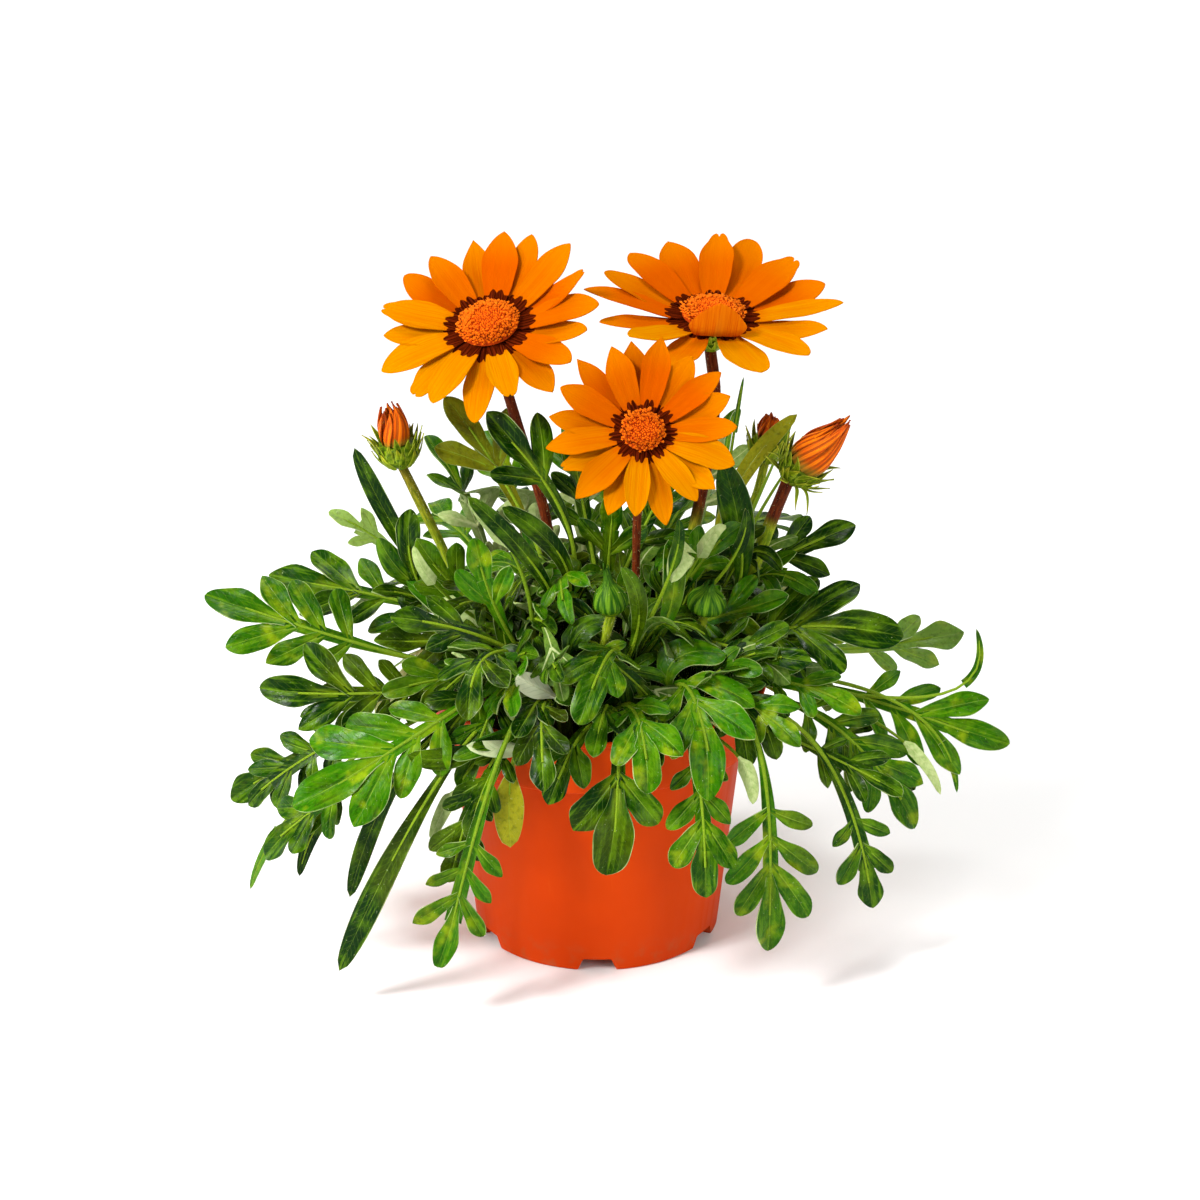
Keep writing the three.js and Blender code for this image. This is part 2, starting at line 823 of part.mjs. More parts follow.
/** Adds a stem from the soil to the foot of a cup, fused with that cup. */
function addStem({ name, foot, via, stemRadius }, frame, cup, cupFoot, material) {
  const end = at(0, 0, cupFoot + 1).applyMatrix4(frame);
  const curve = stemCurve(foot, ...via.map((point) => at(...point)), end);
  addPart(`${name}_stem`, fuse([stalk(curve, stemRadius, STEM.sides, STEM.steps), cup]), material);
  feet.push({ foot, radius: stemRadius });
}

for (const bloom of BLOOMS) {
  const frame = headFrame(bloom.centre, bloom.axis);
  const uphill = uphillTurn(frame);
  const root = bloom.discRadius + 1;
  const profile = (i, share) => {
    const climb = bloom.lean * Math.cos(radians((360 * i) / bloom.petals) - uphill);
    const end = bloom.reach * (1 + 0.05 * wobble(bloom.petals, i));
    const rise = bloom.rise + climb + 1.3 * wobble(bloom.petals, i + 30);
    const layer = i % 2 ? -PETAL.layer : PETAL.layer;
    return [root + share * (end - root), rise * share ** 1.4 + layer * Math.sin(Math.PI * share)];
  };
  const petals = rayPetals(frame, bloom.petals, root, bloom.halfWidth, profile);
  addPart(`${bloom.name}_petals`, petals, PETAL_ORANGE);
  addPart(`${bloom.name}_disc`, floretDisc(frame, bloom.discRadius - 0.5), DISC_BROWN);

  const cupTop = -PETAL.hubHalfThickness - GAP;
  const cupProfile = [
    [2.2, -bloom.cupHeight],
    [5, -0.7 * bloom.cupHeight],
    [6.4, -0.3 * bloom.cupHeight],
    [6, cupTop],
  ];
  const cup = bractCup(frame, cupProfile, [8.4, cupTop - 0.2]);
  addStem(bloom, frame, cup, -bloom.cupHeight, STEM_RED);
}

// ---------------------------------------------------------------- buds

const BUDS = [
  {
    name: "bud_left",
    centre: [-67.5, 0, 172],
    axis: [-0.16, -0.1, 0.98],
    cup: [7, 9],
    bundle: { petals: 8, reach: 4.2, height: 14, flare: 0.7 },
    bractTip: [9.5, 14],
    stemRadius: 1.7,
    foot: [-26, 11],
    via: [[-46, 6, 122], [-56, 2, 146]],
  },
  {
    name: "bud_right",
    centre: [66, 0, 168],
    axis: [0.62, -0.25, 0.74],
    cup: [7.5, 8],
    bundle: { petals: 10, reach: 4.6, height: 23, flare: 1.1 },
    bractTip: [11, 13],
    stemRadius: 2.3,
    foot: [34, 11],
    via: [[50, 2, 121], [59, 0, 148]],
  },
  {
    name: "bud_back",
    centre: [60, 30, 164],
    axis: [0.1, 0, 0.99],
    cup: [6.5, 9],
    bundle: { petals: 6, reach: 3.4, height: 9, flare: 0.6 },
    bractTip: [8, 13],
    stemRadius: 1.5,
    foot: [14, 23],
    via: [[42, 27, 125], [56, 29, 150]],
  },
  {
    name: "bud_front",
    centre: [5, -44, 134],
    axis: [-0.1, -0.1, 0.98],
    cup: [5.2, 11],
    bractTip: [3, 19],
    stemRadius: 1.6,
    foot: [-5, -27],
    via: [[0, -36, 112]],
  },
  {
    name: "bud_middle",
    centre: [37, -25, 128],
    axis: [0.1, -0.3, 0.95],
    cup: [6, 9],
    bractTip: [5, 14],
    stemRadius: 1.6,
    foot: [26, -16],
    via: [[32, -23, 106]],
  },
];

for (const bud of BUDS) {
  const frame = headFrame(bud.centre, bud.axis);
  const [radius, height] = bud.cup;
  const rim = bud.bundle ? [0.9 * radius, height] : [0.45 * radius, height];
  const cupProfile = [[1.6, 0], [0.85 * radius, 0.3 * height], [radius, 0.65 * height], rim];
  addStem(bud, frame, bractCup(frame, cupProfile, bud.bractTip), 0, BUD_GREEN);
  if (bud.bundle) {
    const { petals, reach, height: rise, flare } = bud.bundle;
    const floor = height + GAP + PETAL.hubHalfThickness;
    const profile = (i, share) => {
      const belly = 1 + 0.3 * Math.sin(Math.PI * share);
      const spread = 1 + share * (flare - 1 + 0.25 * wobble(petals, i));
      return [reach * belly * spread, floor + rise * share * (0.94 + 0.06 * wobble(petals, i + 9))];
    };
    const halfWidth = (1.1 * Math.PI * reach) / petals;
    addPart(`${bud.name}_petals`, rayPetals(frame, petals, reach, halfWidth, profile), PETAL_ORANGE);
  }
}

// ---------------------------------------------------------------- pot and soil

/** The radius of the pot's body at a height, on its outside or `inset` further in. */
function bodyRadius(height, inset = 0) {
  const share = height / POT.collarFoot;
  return POT.baseRadius + share * (POT.shoulderRadius - POT.baseRadius) - inset;
}

/** The same for the wider collar below the rim. */
function collarRadius(height, inset = 0) {
  const share = (height - POT.collarFoot) / (POT.height - POT.collarFoot);
  return POT.collarRadius + share * (POT.rimRadius - POT.lipWidth - POT.collarRadius) - inset;
}

function potSolid() {
  const { height, wall, collarFoot, channelHeight: channel, padRadius: pad } = POT;
  const footOuter = POT.baseRadius - POT.footRound;
  const footInner = footOuter - POT.footWidth;
  const lip = height - POT.lipHeight;
  const profile = [
    [0, 0],
    [pad, 0],
    [pad + 1, channel],
    [footInner, channel],
    [footInner + 0.4, 0],
    [footOuter, 0],
    [bodyRadius(2.5), 2.5],
    [bodyRadius(collarFoot - 1), collarFoot - 1],
    [collarRadius(collarFoot), collarFoot],
    [collarRadius(lip), lip],
    [POT.rimRadius, lip + 0.4],
    [POT.rimRadius, height - 0.5],
    [POT.rimRadius - 0.5, height],
    [collarRadius(height, wall), height],
    [collarRadius(collarFoot + wall, wall), collarFoot + wall],
    [bodyRadius(collarFoot, wall), collarFoot],
    [bodyRadius(channel + wall, wall), channel + wall],
    [pad, channel + wall],
    [pad - 1, wall],
    [0, wall],
  ];
  const blank = turned(profile);
  const [foot, top, corner] = [0.5 * NOTCH.footWidth, 0.5 * NOTCH.topWidth, 1];
  const half = [
    [foot, -2],
    [foot, 0],
    [top, NOTCH.height - corner],
    [top - corner, NOTCH.height],
  ];
  const mirrored = half.map(([x, y]) => [-x, y]).reverse();
  const cutter = new THREE.Shape([...half, ...mirrored].map(([x, y]) => new THREE.Vector2(x, y)));
  const cuts = Array.from({ length: NOTCH.count }, (_, i) =>
    solidOf(
      new THREE.ExtrudeGeometry(cutter, { depth: NOTCH.depth, bevelEnabled: false, steps: 1 })
        .translate(0, 0, POT.baseRadius - 0.6 * NOTCH.depth)
        .rotateX(Math.PI / 2)
        .rotateZ((2 * Math.PI * i) / NOTCH.count),
    ),
  );
  return cuts.reduce((pot, cut) => pot.subtract(cut), blank);
}

/** The uneven top of the soil, closed by a flat floor a little below it. */
function soilLumps(edge, rimHeight) {
  const { rings, sides } = SOIL;
  const floor = rimHeight - SOIL.lumpDepth;
  const points = [at(0, 0, SOIL.level), at(0, 0, floor)];
  const [middle, under] = [0, 1];
  const circle = (reach, turn, heightOf) =>
    Array.from({ length: sides }, (_, j) => {
      const height = heightOf(j);
      return points.push(polar(reach, (360 * (j + turn)) / sides, height)) - 1;
    });
  const circles = [];
  for (let i = 1; i < rings; i += 1) {
    const reach = (edge * i) / rings;
    const sunk = SOIL.level - SOIL.crown * (i / rings) ** 2;
    circles.push(circle(reach, 0.5 * i, (j) => sunk + SOIL.lump * wobble(j, 5 * i)));
  }
  circles.push(circle(edge, 0.5 * rings, () => rimHeight));
  circles.push(circle(edge, 0.5 * rings, () => floor));
  const triangles = [];
  for (let j = 0; j < sides; j += 1) {
    const next = (j + 1) % sides;
    triangles.push([middle, circles[0][j], circles[0][next]]);
    for (let i = 1; i < circles.length; i += 1) {
      const [inner, outer] = [circles[i - 1], circles[i]];
      triangles.push([inner[j], outer[j], inner[next]], [inner[next], outer[j], outer[next]]);
    }
    triangles.push([circles.at(-1)[j], under, circles.at(-1)[next]]);
  }
  return solidFrom(points, triangles);
}

function soilSolid() {
  const { wall, collarFoot, channelHeight: channel, padRadius: pad } = POT;
  const inset = wall + GAP + 0.2;
  const floor = channel + inset;
  const ledge = collarFoot + inset + 0.2;
  const rimHeight = SOIL.level - SOIL.crown;
  const edge = collarRadius(rimHeight, inset);
  const walls = [
    [0, inset],
    [pad - 1.3, inset],
    [pad - 0.3, floor],
    [bodyRadius(floor, inset), floor],
    [bodyRadius(collarFoot, inset), collarFoot + 0.5],
    [collarRadius(ledge, inset), ledge],
    [edge, rimHeight],
    [0, rimHeight],
  ];
  let soil = turned(walls, SOIL.wallSides).add(soilLumps(edge - 0.4, rimHeight + 0.3));
  const top = SOIL.level + 6;
  const low = SOIL.level - STEM.sink - GAP;
  for (const { foot, radius } of feet) {
    const bore = radius + 2 * GAP;
    const hole = new THREE.CylinderGeometry(bore, bore, top - low, SOIL.holeSides)
      .rotateX(Math.PI / 2)
      .translate(foot[0], foot[1], 0.5 * (top + low));
    soil = soil.subtract(solidOf(hole));
  }
  return soil;
}

addPart("pot", potSolid(), POT_PLASTIC);
addPart("soil", soilSolid(), PEAT);

export default plant;
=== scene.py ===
"""A gazania in its nursery pot: fine leaves, blooms, buds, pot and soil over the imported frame.

Lengths in the tables are millimetres in the part's own frame, +Z up, front -Y.
"""

import math

import bpy
import numpy as np
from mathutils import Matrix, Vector, noise


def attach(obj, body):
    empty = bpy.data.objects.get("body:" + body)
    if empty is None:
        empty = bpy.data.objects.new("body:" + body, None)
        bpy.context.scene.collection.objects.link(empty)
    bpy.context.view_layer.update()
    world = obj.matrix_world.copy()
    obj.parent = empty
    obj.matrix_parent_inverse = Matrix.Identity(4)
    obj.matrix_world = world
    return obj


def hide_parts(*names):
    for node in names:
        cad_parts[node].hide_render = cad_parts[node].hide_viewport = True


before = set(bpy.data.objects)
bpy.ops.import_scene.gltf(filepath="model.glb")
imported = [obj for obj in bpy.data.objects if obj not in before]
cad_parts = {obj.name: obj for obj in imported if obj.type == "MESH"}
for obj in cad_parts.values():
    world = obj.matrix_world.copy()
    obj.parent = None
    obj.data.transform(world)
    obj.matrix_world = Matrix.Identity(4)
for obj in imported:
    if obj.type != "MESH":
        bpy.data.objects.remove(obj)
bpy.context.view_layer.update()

MM = 0.001

# ---------------------------------------------------------------- the plant's dimensions

LEAF = {
    "rib": 1.0,
    "web": (1.6, 2.9),
    "pair_step": 9.5,
    "lobed_share": 0.92,
    "lobe_lengths": (0.62, 0.98),
    "lobe_degrees": (64, 37),
    "end_lobe": 1.2,
    "fold": 0.16,
    "droop": 110,
    "side_tips": (0.46, 0.88),
    "end_tip": (0.44, 0.8),
}
# rows and columns of a lobe and of a plain blade: large leaves, then young ones
LOBE_GRID = ((16, 9), (10, 5))
BLADE_GRID = ((30, 11), (16, 7))
# the soil's level, how deep under it stems start, how much of that isn't drawn, how far they rise before they
# bend, and a shoot's radius, all in millimetres; then the hairs on a stem
SOIL_LEVEL, STEM_SINK, STEM_HIDDEN, STEM_RISE, SHOOT_RADIUS, STEM_HAIRS = 84, 12, 8.0, 4, 2.2, 900
# where leaves leave a shoot's stalk, as shares of its length: the first, how much lower each next one, and
# the extra ones
LEAF_START, LEAF_STEP, EXTRA_START = 0.97, 0.05, 0.93
# half the thickness of the hub under a bloom's petals, and the gap between pieces
HUB_HALF, GAP = 0.8, 0.3
SEEDS = dict(shoots=100, blooms=400, buds=500, soil=7)
# the petal of the right bloom that curls up over its disc
CURLED = {"bloom": "bloom_right", "number": 12, "length": 20, "bend": 1.8, "broad": 1.5}
# the range of how pointed the petals' tips are
POINTED = {"bloom_left": (0.55, 0.95), "bloom_right": (0.52, 0.85), "bloom_front": (0.75, 1.1)}
# the radius of each disc of florets
FLORETS = {"bloom_left": 10.4, "bloom_right": 10.8, "bloom_front": 6.8}
# how far each bundle of furled petals narrows at its tip, and how wide it stands
BUNDLES = {"bud_left": (0.65, 1.0), "bud_right": (0.3, 1.28), "bud_back": (0.6, 1.0)}
# the small leaves of the crown: how many to a shoot and the ranges they are drawn from
YOUNG = {"count": 7, "spread": (18, 40), "knee": (2, 16), "rise": (-8, 26), "lobe": (11, 17), "turned": 0.16}

# name: foot, top, and for each leaf its middle, tip, lean of its face, pairs of lobes, lobe length, breadth
SHOOTS = {
    "shoot_left": ((-34, 2), (-40, -4, 101), [
        ((-69, -12, 107), (-137, -5, 127), 45, 3, 25, 0.2),
        ((-61, -30, 101), (-116, -36, 103), 55, 3, 23, 0.2),
        ((-55, 2, 113), (-82, 6, 110), 45, 2, 16, 0.2),
    ]),
    "shoot_left_back": ((-37, 15), (-42, 15, 106), [
        ((-72, 16, 117), (-118, 22, 123), 40, 2, 24, 0.2),
        ((-62, 12, 122), (-66, 8, 152), 80, 1, 20, 0.2),
        ((-66, 22, 131), (-86, 25, 171), 70, 1, 17, 0.2),
    ]),
    "shoot_front_left": ((-30, -16), (-34, -24, 103), [
        ((-49, -55, 103), (-100, -75, 76), 55, 3, 28, 0.21),
        ((-78, -34, 90), (-128, -34, 62), 50, 3, 18, 0.22),
        ((-48, -36, 108), (-72, -47, 107), 50, 2, 15, 0.2),
    ]),
    "shoot_front_left_low": ((-24, -28), (-30, -37, 101), [
        ((-66, -55, 90), (-116, -54, 50), 45, 2, 19, 0.22),
        ((-54, -68, 82), (-88, -70, 14), 60, 0, 44, 0.1),
        ((-62, -52, 86), (-86, -46, 30), 60, 0, 36, 0.09),
    ]),
    "shoot_front": ((-12, -36), (-16, -42, 104), [
        ((-31, -70, 97), (-52, -80, 21), 65, 3, 19, 0.17),
        ((-27, -60, 99), (-48, -68, 92), 50, 0, 26, 0.12),
        ((-19, -57, 109), (-26, -80, 104), 50, 1, 15, 0.2),
        ((-21, -52, 95), (-41, -74, 99), 60, 0, 22, 0.12),
        ((-18, -64, 108), (-17, -89, 90), 50, 2, 16, 0.22),
    ]),
    "shoot_front_middle": ((2, -38), (2, -43, 94), [
        ((-6, -62, 97), (-16, -78, 80), 55, 1, 15, 0.24),
        ((7, -63, 101), (5, -84, 57), 60, 1, 24, 0.25),
        ((3, -57, 106), (-2, -78, 97), 50, 1, 15, 0.2),
        ((12, -62, 107), (17, -89, 90), 50, 2, 18, 0.24),
    ]),
    "shoot_front_right": ((18, -34), (22, -40, 97), [
        ((31, -52, 110), (39, -82, 85), 55, 3, 26, 0.2),
        ((32, -66, 94), (36, -88, 50), 65, 3, 18, 0.22),
        ((20, -58, 103), (18, -78, 92), 50, 1, 15, 0.2),
    ]),
    "shoot_right_low": ((30, -27), (36, -34, 101), [
        ((54, -64, 94), (58, -72, 22), 60, 3, 24, 0.18),
        ((74, -46, 88), (96, -48, 26), 60, 2, 18, 0.2),
        ((50, -50, 104), (68, -66, 96), 55, 2, 15, 0.2),
    ]),
    "shoot_right_front": ((38, -14), (46, -20, 95), [
        ((80, -30, 89), (112, -40, 53), 55, 4, 21, 0.2),
        ((64, -30, 104), (90, -42, 98), 50, 2, 16, 0.2),
    ]),
    "shoot_right": ((42, -1), (52, -4, 99), [
        ((91, -10, 91), (145, -15, 73), 50, 3, 25, 0.17),
        ((62, -14, 117), (106, -20, 118), 50, 2, 28, 0.2),
        ((66, 4, 108), (90, 8, 106), 50, 2, 16, 0.2),
    ]),
    "shoot_right_back": ((42, 18), (50, 24, 99), [
        ((94, 45, 87), (137, 55, 91), 45, 2, 20, 0.22),
        ((68, 27, 108), (90, 36, 113), 40, 1, 16, 0.2),
    ]),
    "shoot_right_high": ((31, 2), (40, 3, 121), [
        ((57, 10, 131), (92, 18, 145), 60, 2, 20, 0.2),
        ((50, -10, 137), (43, -14, 178), 70, 0, 44, 0.13),
        ((46, 9, 156), (70, 17, 186), 60, 1, 18, 0.18),
    ]),
    "shoot_high": ((-13, -6), (-14, -8, 122), [
        ((-26, 2, 154), (-52, 8, 195), 60, 1, 22, 0.18),
        ((-10, -12, 154), (-38, -14, 195), 70, 1, 22, 0.19),
        ((-11, -22, 144), (-32, -26, 166), 70, 0, 28, 0.13),
        ((-19, -30, 143), (-43, -36, 173), 70, 0, 32, 0.1),
    ]),
    "shoot_middle_left": ((-20, -18), (-22, -28, 112), [
        ((-37, -52, 122), (-42, -78, 112), 40, 2, 18, 0.21),
        ((-42, -38, 125), (-69, -46, 134), 60, 1, 18, 0.2),
        ((-34, -30, 130), (-41, -32, 156), 75, 1, 16, 0.22),
    ]),
    "shoot_middle_right": ((19, -1), (23, -5, 116), [
        ((46, -30, 117), (72, -44, 117), 50, 2, 17, 0.2),
        ((34, -11, 138), (48, -20, 158), 65, 1, 16, 0.2),
        ((42, -14, 122), (66, -22, 132), 60, 2, 16, 0.2),
    ]),
    "shoot_centre": ((2, 0), (3, 3, 116), [
        ((16, 8, 146), (30, 14, 172), 60, 2, 17, 0.2),
        ((-4, 14, 148), (-10, 22, 178), 50, 2, 17, 0.2),
        ((4, -8, 140), (6, -16, 168), 70, 1, 17, 0.2),
        ((-5, -8, 116), (-12, -22, 130), 60, 1, 16, 0.2),
        ((12, 8, 120), (22, 18, 138), 60, 1, 16, 0.2),
        ((-1, 16, 113), (-3, 36, 110), 30, 1, 13, 0.2),
    ]),
    "shoot_left_middle": ((-24, -3), (-28, -6, 112), [
        ((-46, -10, 128), (-62, -16, 150), 60, 2, 17, 0.2),
        ((-48, -22, 116), (-76, -34, 120), 50, 2, 18, 0.2),
        ((-24, -22, 124), (-14, -43, 128), 55, 1, 15, 0.2),
    ]),
    "shoot_middle": ((6, -23), (9, -33, 112), [
        ((4, -57, 125), (-5, -84, 113), 45, 2, 20, 0.22),
        ((14, -52, 138), (8, -58, 156), 60, 0, 20, 0.15),
        ((24, -34, 130), (24, -36, 158), 70, 0, 24, 0.16),
    ]),
}

# leaves of the photo that only this scene adds: middle, tip, lean, pairs, lobe, breadth, tone, and True if
# the leaf is turned over
EXTRA_LEAVES = {
    "shoot_front_left": [
        ((-24, -56, 94), (-43, -73, 99), 45, 0, 24, 0.13, 1.15, True),
        ((-42, -48, 104), (-55, -58, 90), 55, 1, 17, 0.21, 0.1),
        ((-36, -50, 101), (-46, -65, 80), 60, 2, 16, 0.2, 0.35),
        ((-85, -38, 88), (-122, -40, 62), 50, 2, 15, 0.2, 0.2),
        ((-92, -42, 74), (-121, -42, 31), 60, 0, 27, 0.07, 1.2),
    ],
    "shoot_front_left_low": [
        ((-72, -50, 86), (-101, -52, 56), 50, 2, 15, 0.2, 0.35),
        ((-80, -48, 78), (-103, -48, 39), 60, 0, 26, 0.1, 0.1),
    ],
    "shoot_front": [
        ((-27, -62, 93), (-29, -73, 62), 55, 0, 30, 0.17, -0.8),
        ((-36, -66, 88), (-49, -77, 50), 60, 2, 15, 0.22, 0.15),
        ((-14, -53, 108), (-27, -63, 119), 60, 0, 21, 0.19, 1.5, True),
        ((-34, -66, 88), (-42, -75, 66), 60, 2, 14, 0.21, 0.1),
        ((-40, -62, 89), (-56, -65, 61), 60, 0, 20, 0.13, 0.5, True),
        ((-42, -62, 92), (-63, -67, 93), 60, 0, 32, 0.12, 0.05),
    ],
    "shoot_front_right": [
        ((45, -60, 92), (52, -69, 76), 60, 0, 17, 0.16, 0.9, True),
        ((42, -48, 108), (50, -64, 87), 60, 2, 15, 0.21, 0.2),
    ],
    "shoot_middle_left": [
        ((-26, -32, 146), (-43, -35, 172), 60, 0, 24, 0.15, 0.95, True),
        ((-40, -34, 112), (-58, -48, 100), 45, 2, 15, 0.18, 0.1),
    ],
    "shoot_left_middle": [((-52, -24, 134), (-62, -28, 153), 60, 0, 16, 0.14, 0.9, True)],
    "shoot_middle_right": [
        ((29, -34, 152), (25, -39, 144), 60, 0, 15, 0.3, 0.95, True),
        ((35, -32, 152), (43, -34, 162), 50, 0, 18, 0.16, 0.9, True),
        ((45, -22, 144), (50, -27, 166), 65, 0, 20, 0.11, 0.1),
    ],
    "shoot_middle": [((24, -40, 146), (27, -44, 168), 70, 0, 22, 0.1, 0.3)],
    "shoot_left_back": [((-72, 19, 134), (-96, 22, 148), 50, 1, 13, 0.18, 1.6)],
    "shoot_right_high": [
        ((47, 17, 172), (51, 18, 199), 80, 0, 18, 0.045, 0.8),
        ((45, 23, 166), (49, 25, 185), 80, 0, 16, 0.07, 1.2),
        ((60, 23, 160), (69, 24, 182), 80, 0, 16, 0.06, 1.2),
        ((62, 12, 160), (76, 11, 178), 75, 0, 14, 0.07, 0.8),
    ],
    "shoot_right": [
        ((118, -13, 92), (132, -13, 117), 60, 0, 22, 0.075, 0.5),
        ((88, -16, 78), (112, -22, 60), 50, 2, 15, 0.18, 0.1),
        ((98, -24, 86), (120, -28, 61), 60, 0, 24, 0.09, 0.9, True),
        ((106, -16, 90), (127, -20, 58), 60, 0, 20, 0.08, 0.7),
    ],
    "shoot_right_low": [
        ((84, -44, 80), (104, -50, 70), 45, 2, 15, 0.18, 0.2),
        ((50, -48, 106), (60, -60, 88), 55, 2, 16, 0.2, 0.1),
    ],
    "shoot_left": [
        ((-72, -10, 92), (-104, -18, 88), 45, 2, 15, 0.18, 0.05),
        ((-54, -30, 106), (-63, -44, 94), 55, 2, 15, 0.2, 0.25),
    ],
}
# leaves whose side lobes the photo doesn't show: their pairs, lobe and breadth here
PLAIN_LEAVES = {("shoot_right_high", 2): (0, 27, 0.115), ("shoot_left_back", 2): (0, 27, 0.13)}
# tones of leaves that stand out: under 0 olive, 0 dark to 1 light green, over 1 pale
LEAF_TONES = {
    "shoot_high": (-0.4, 0.0, 0.05, 0.1),
    "shoot_left": (0.55, 0.15, 0.3),
    "shoot_left_back": (0.35, 0.15, 0.05),
    "shoot_front_left": (0.85, 0.35, 0.6),
    "shoot_front_left_low": (0.35, 0.12, 0.2),
    "shoot_front_middle": (0.2, 0.25, 0.4, 0.7),
    "shoot_front_right": (0.75, 0.4, 0.2),
    "shoot_right": (0.6, 0.15, 0.7),
    "shoot_right_low": (0.55, 0.3, 0.6),
    "shoot_right_front": (0.5, 0.7),
    "shoot_right_high": (0.15, 0.3, -0.6),
    "shoot_right_back": (1.35, 0.5),
    "shoot_middle_left": (0.1, 0.0, 0.8),
}

BACK_SECTORS = (46, 70, 93, 117, 141)
# turn, reach and height of the middle, reach and height of the tip, pairs, lobe
BACK_LEAVES = (
    (-8, 76, 97, 114, 48, 3, 22),
    (5, 78, 112, 122, 88, 3, 22),
    (-4, 68, 132, 104, 128, 2, 22),
    (2, 55, 146, 74, 174, 2, 20),
    (3, 44, 116, 50, 140, 1, 13),
)
# reach and height of a back shoot's foot and top
BACK_STALK = ((38, 0), (44, 104))

BLOOMS = {
    "bloom_left": dict(
        centre=(-37, 10, 219), axis=(-0.16, -0.47, 0.87), petals=18, reach=38, rise=4.2, lean=6.3,
        half=5.2, disc=11, ring=5.6, cup=13, stem=1.9, foot=(-12, 9), via=[(-18, 5, 152), (-27, 7, 183)],
    ),
    "bloom_right": dict(
        centre=(40, 20, 220), axis=(0.05, -0.25, 0.97), petals=16, reach=43, rise=7, lean=3,
        half=6, disc=12, ring=4.8, cup=13, stem=2.0, foot=(20, 12), via=[(33, 12, 140), (41, 15, 190)],
    ),
    "bloom_front": dict(
        centre=(15, -45, 198), axis=(0, -0.77, 0.64), petals=19, reach=31, rise=4, lean=2.5,
        half=4.2, disc=7.6, ring=3.9, cup=11, stem=1.4, foot=(12, -13),
        via=[(13, -22, 120), (13.5, -31, 165)],
    ),
}

BUDS = {
    "bud_left": dict(
        centre=(-67.5, 0, 172), axis=(-0.16, -0.1, 0.98), cup=(7, 9), petals=8, reach=4.2, height=14,
        tip=(9.5, 14), stem=1.7, foot=(-26, 11), via=[(-46, 6, 122), (-56, 2, 146)],
    ),
    "bud_right": dict(
        centre=(66, 0, 168), axis=(0.62, -0.25, 0.74), cup=(7.5, 8), petals=10, reach=4.6, height=23,
        tip=(11, 13), stem=2.3, foot=(34, 11), via=[(50, 2, 121), (59, 0, 148)],
    ),
    "bud_back": dict(
        centre=(60, 30, 164), axis=(0.1, 0, 0.99), cup=(6.5, 9), petals=6, reach=3.4, height=9,
        tip=(8, 13), stem=1.5, foot=(14, 23), via=[(42, 27, 125), (56, 29, 150)],
    ),
    "bud_front": dict(
        centre=(5, -44, 134), axis=(-0.1, -0.1, 0.98), cup=(5.2, 11), petals=0, tip=(3, 19),
        stem=1.6, foot=(-5, -27), via=[(0, -36, 112)],
    ),
    "bud_middle": dict(
        centre=(37, -25, 128), axis=(0.1, -0.3, 0.95), cup=(6, 9), petals=0, tip=(5, 14),
        stem=1.6, foot=(26, -16), via=[(32, -23, 106)],
    ),
}
# a stem is green below and brown above: the shares of its length between which it turns
STEM_TURNS = {
    "bloom_left": (0.25, 0.5),
    "bloom_right": (0.45, 0.6),
    "bloom_front": (0.05, 0.25),
    "bud_left": (0.5, 1.3),
    "bud_right": (0.78, 0.85),
    "bud_back": (0.7, 1.5),
    "bud_front": (0.9, 1.8),
    "bud_middle": (0.9, 1.8),
}
# a floret's rings: width and height in its own radius and height, and 1 where it is a star
OPEN_FLORET = ((0.6, -0.3, 0), (0.5, 0.5, 0), (1.25, 1.0, 1), (0.3, 0.7, 0))
CLOSED_FLORET = ((0.75, -0.3, 0), (0.95, 0.35, 0), (0.75, 0.75, 0), (0.2, 1.0, 0))
# the turn from one floret to the next, in radians
GOLDEN = 2.39996
# a disc's rise and its anthers for each millimetre of its radius, and its florets for each squared millimetre
DISC = dict(dome=0.24, anthers=6, florets=5.4)
# the share of anthers whose tips are forked
FORKED_TIPS = 0.12
# the cups of buds, in the cup's own radius and height
OPEN_CUP = ((0.85, 0.3), (1, 0.65), (0.9, 1))
CLOSED_CUP = ((0.95, 0.25), (0.9, 0.55), (0.3, 1.15))
# rows of bracts on an open bud: how many, how low they start, how far they reach
BRACT_ROWS = ((9, 0.1, 0.45), (11, 0.3, 0.75), (13, 0.5, 1.0))
CLOSED_BRACTS = 14
# the bud whose cup has long bracts that stand out, how many, and the degrees from one to the next
WILD = dict(bud="bud_right", bracts=14, turn=26)
# hairs on the cup of a closed bud and of an open one
CUP_HAIRS = (40, 150)

POT = dict(height=94, rim=60, collar_foot=74, collar=57.5, shoulder=52, base=44, wall=1.2, pad=29, channel=5)
NOTCH = dict(count=6, top=9.7, foot=14, height=4.7)
# parts of the pot's outline, as radius and height from the collar's foot or from the rim's upper edge
COLLAR_INSIDE = ((-6.9, -3), (-6.7, 0), (-3.5, 0.9), (-1.3, 1.3), (-1.1, 2))
COLLAR_UNDERSIDE = ((-0.2, 0.2), (-0.7, -0.1), (-3.5, -0.6), (-5.2, -0.9), (-5.55, -1.3), (-5.7, -2.5))
LIP = (
    (-1.8, -0.2), (-1.3, 0), (-0.7, 0), (-0.2, -0.2), (0, -0.6), (0, -1.3), (-0.2, -1.7), (-0.7, -1.95),
    (-0.95, -2.4),
)
BODY_HEIGHTS = (68, 60, 50, 40, 30, 22, 15, 10, 7, 5.2, 4, 3, 2, 1, 0.4)
SOIL_RADIUS, CRUMBS = 56.2, 560
SOIL_WALL = ((SOIL_RADIUS, 81), (55.9, 76), (50, 74.6), (43.3, 8), (28, 7), (27.5, 2), (0.01, 2))

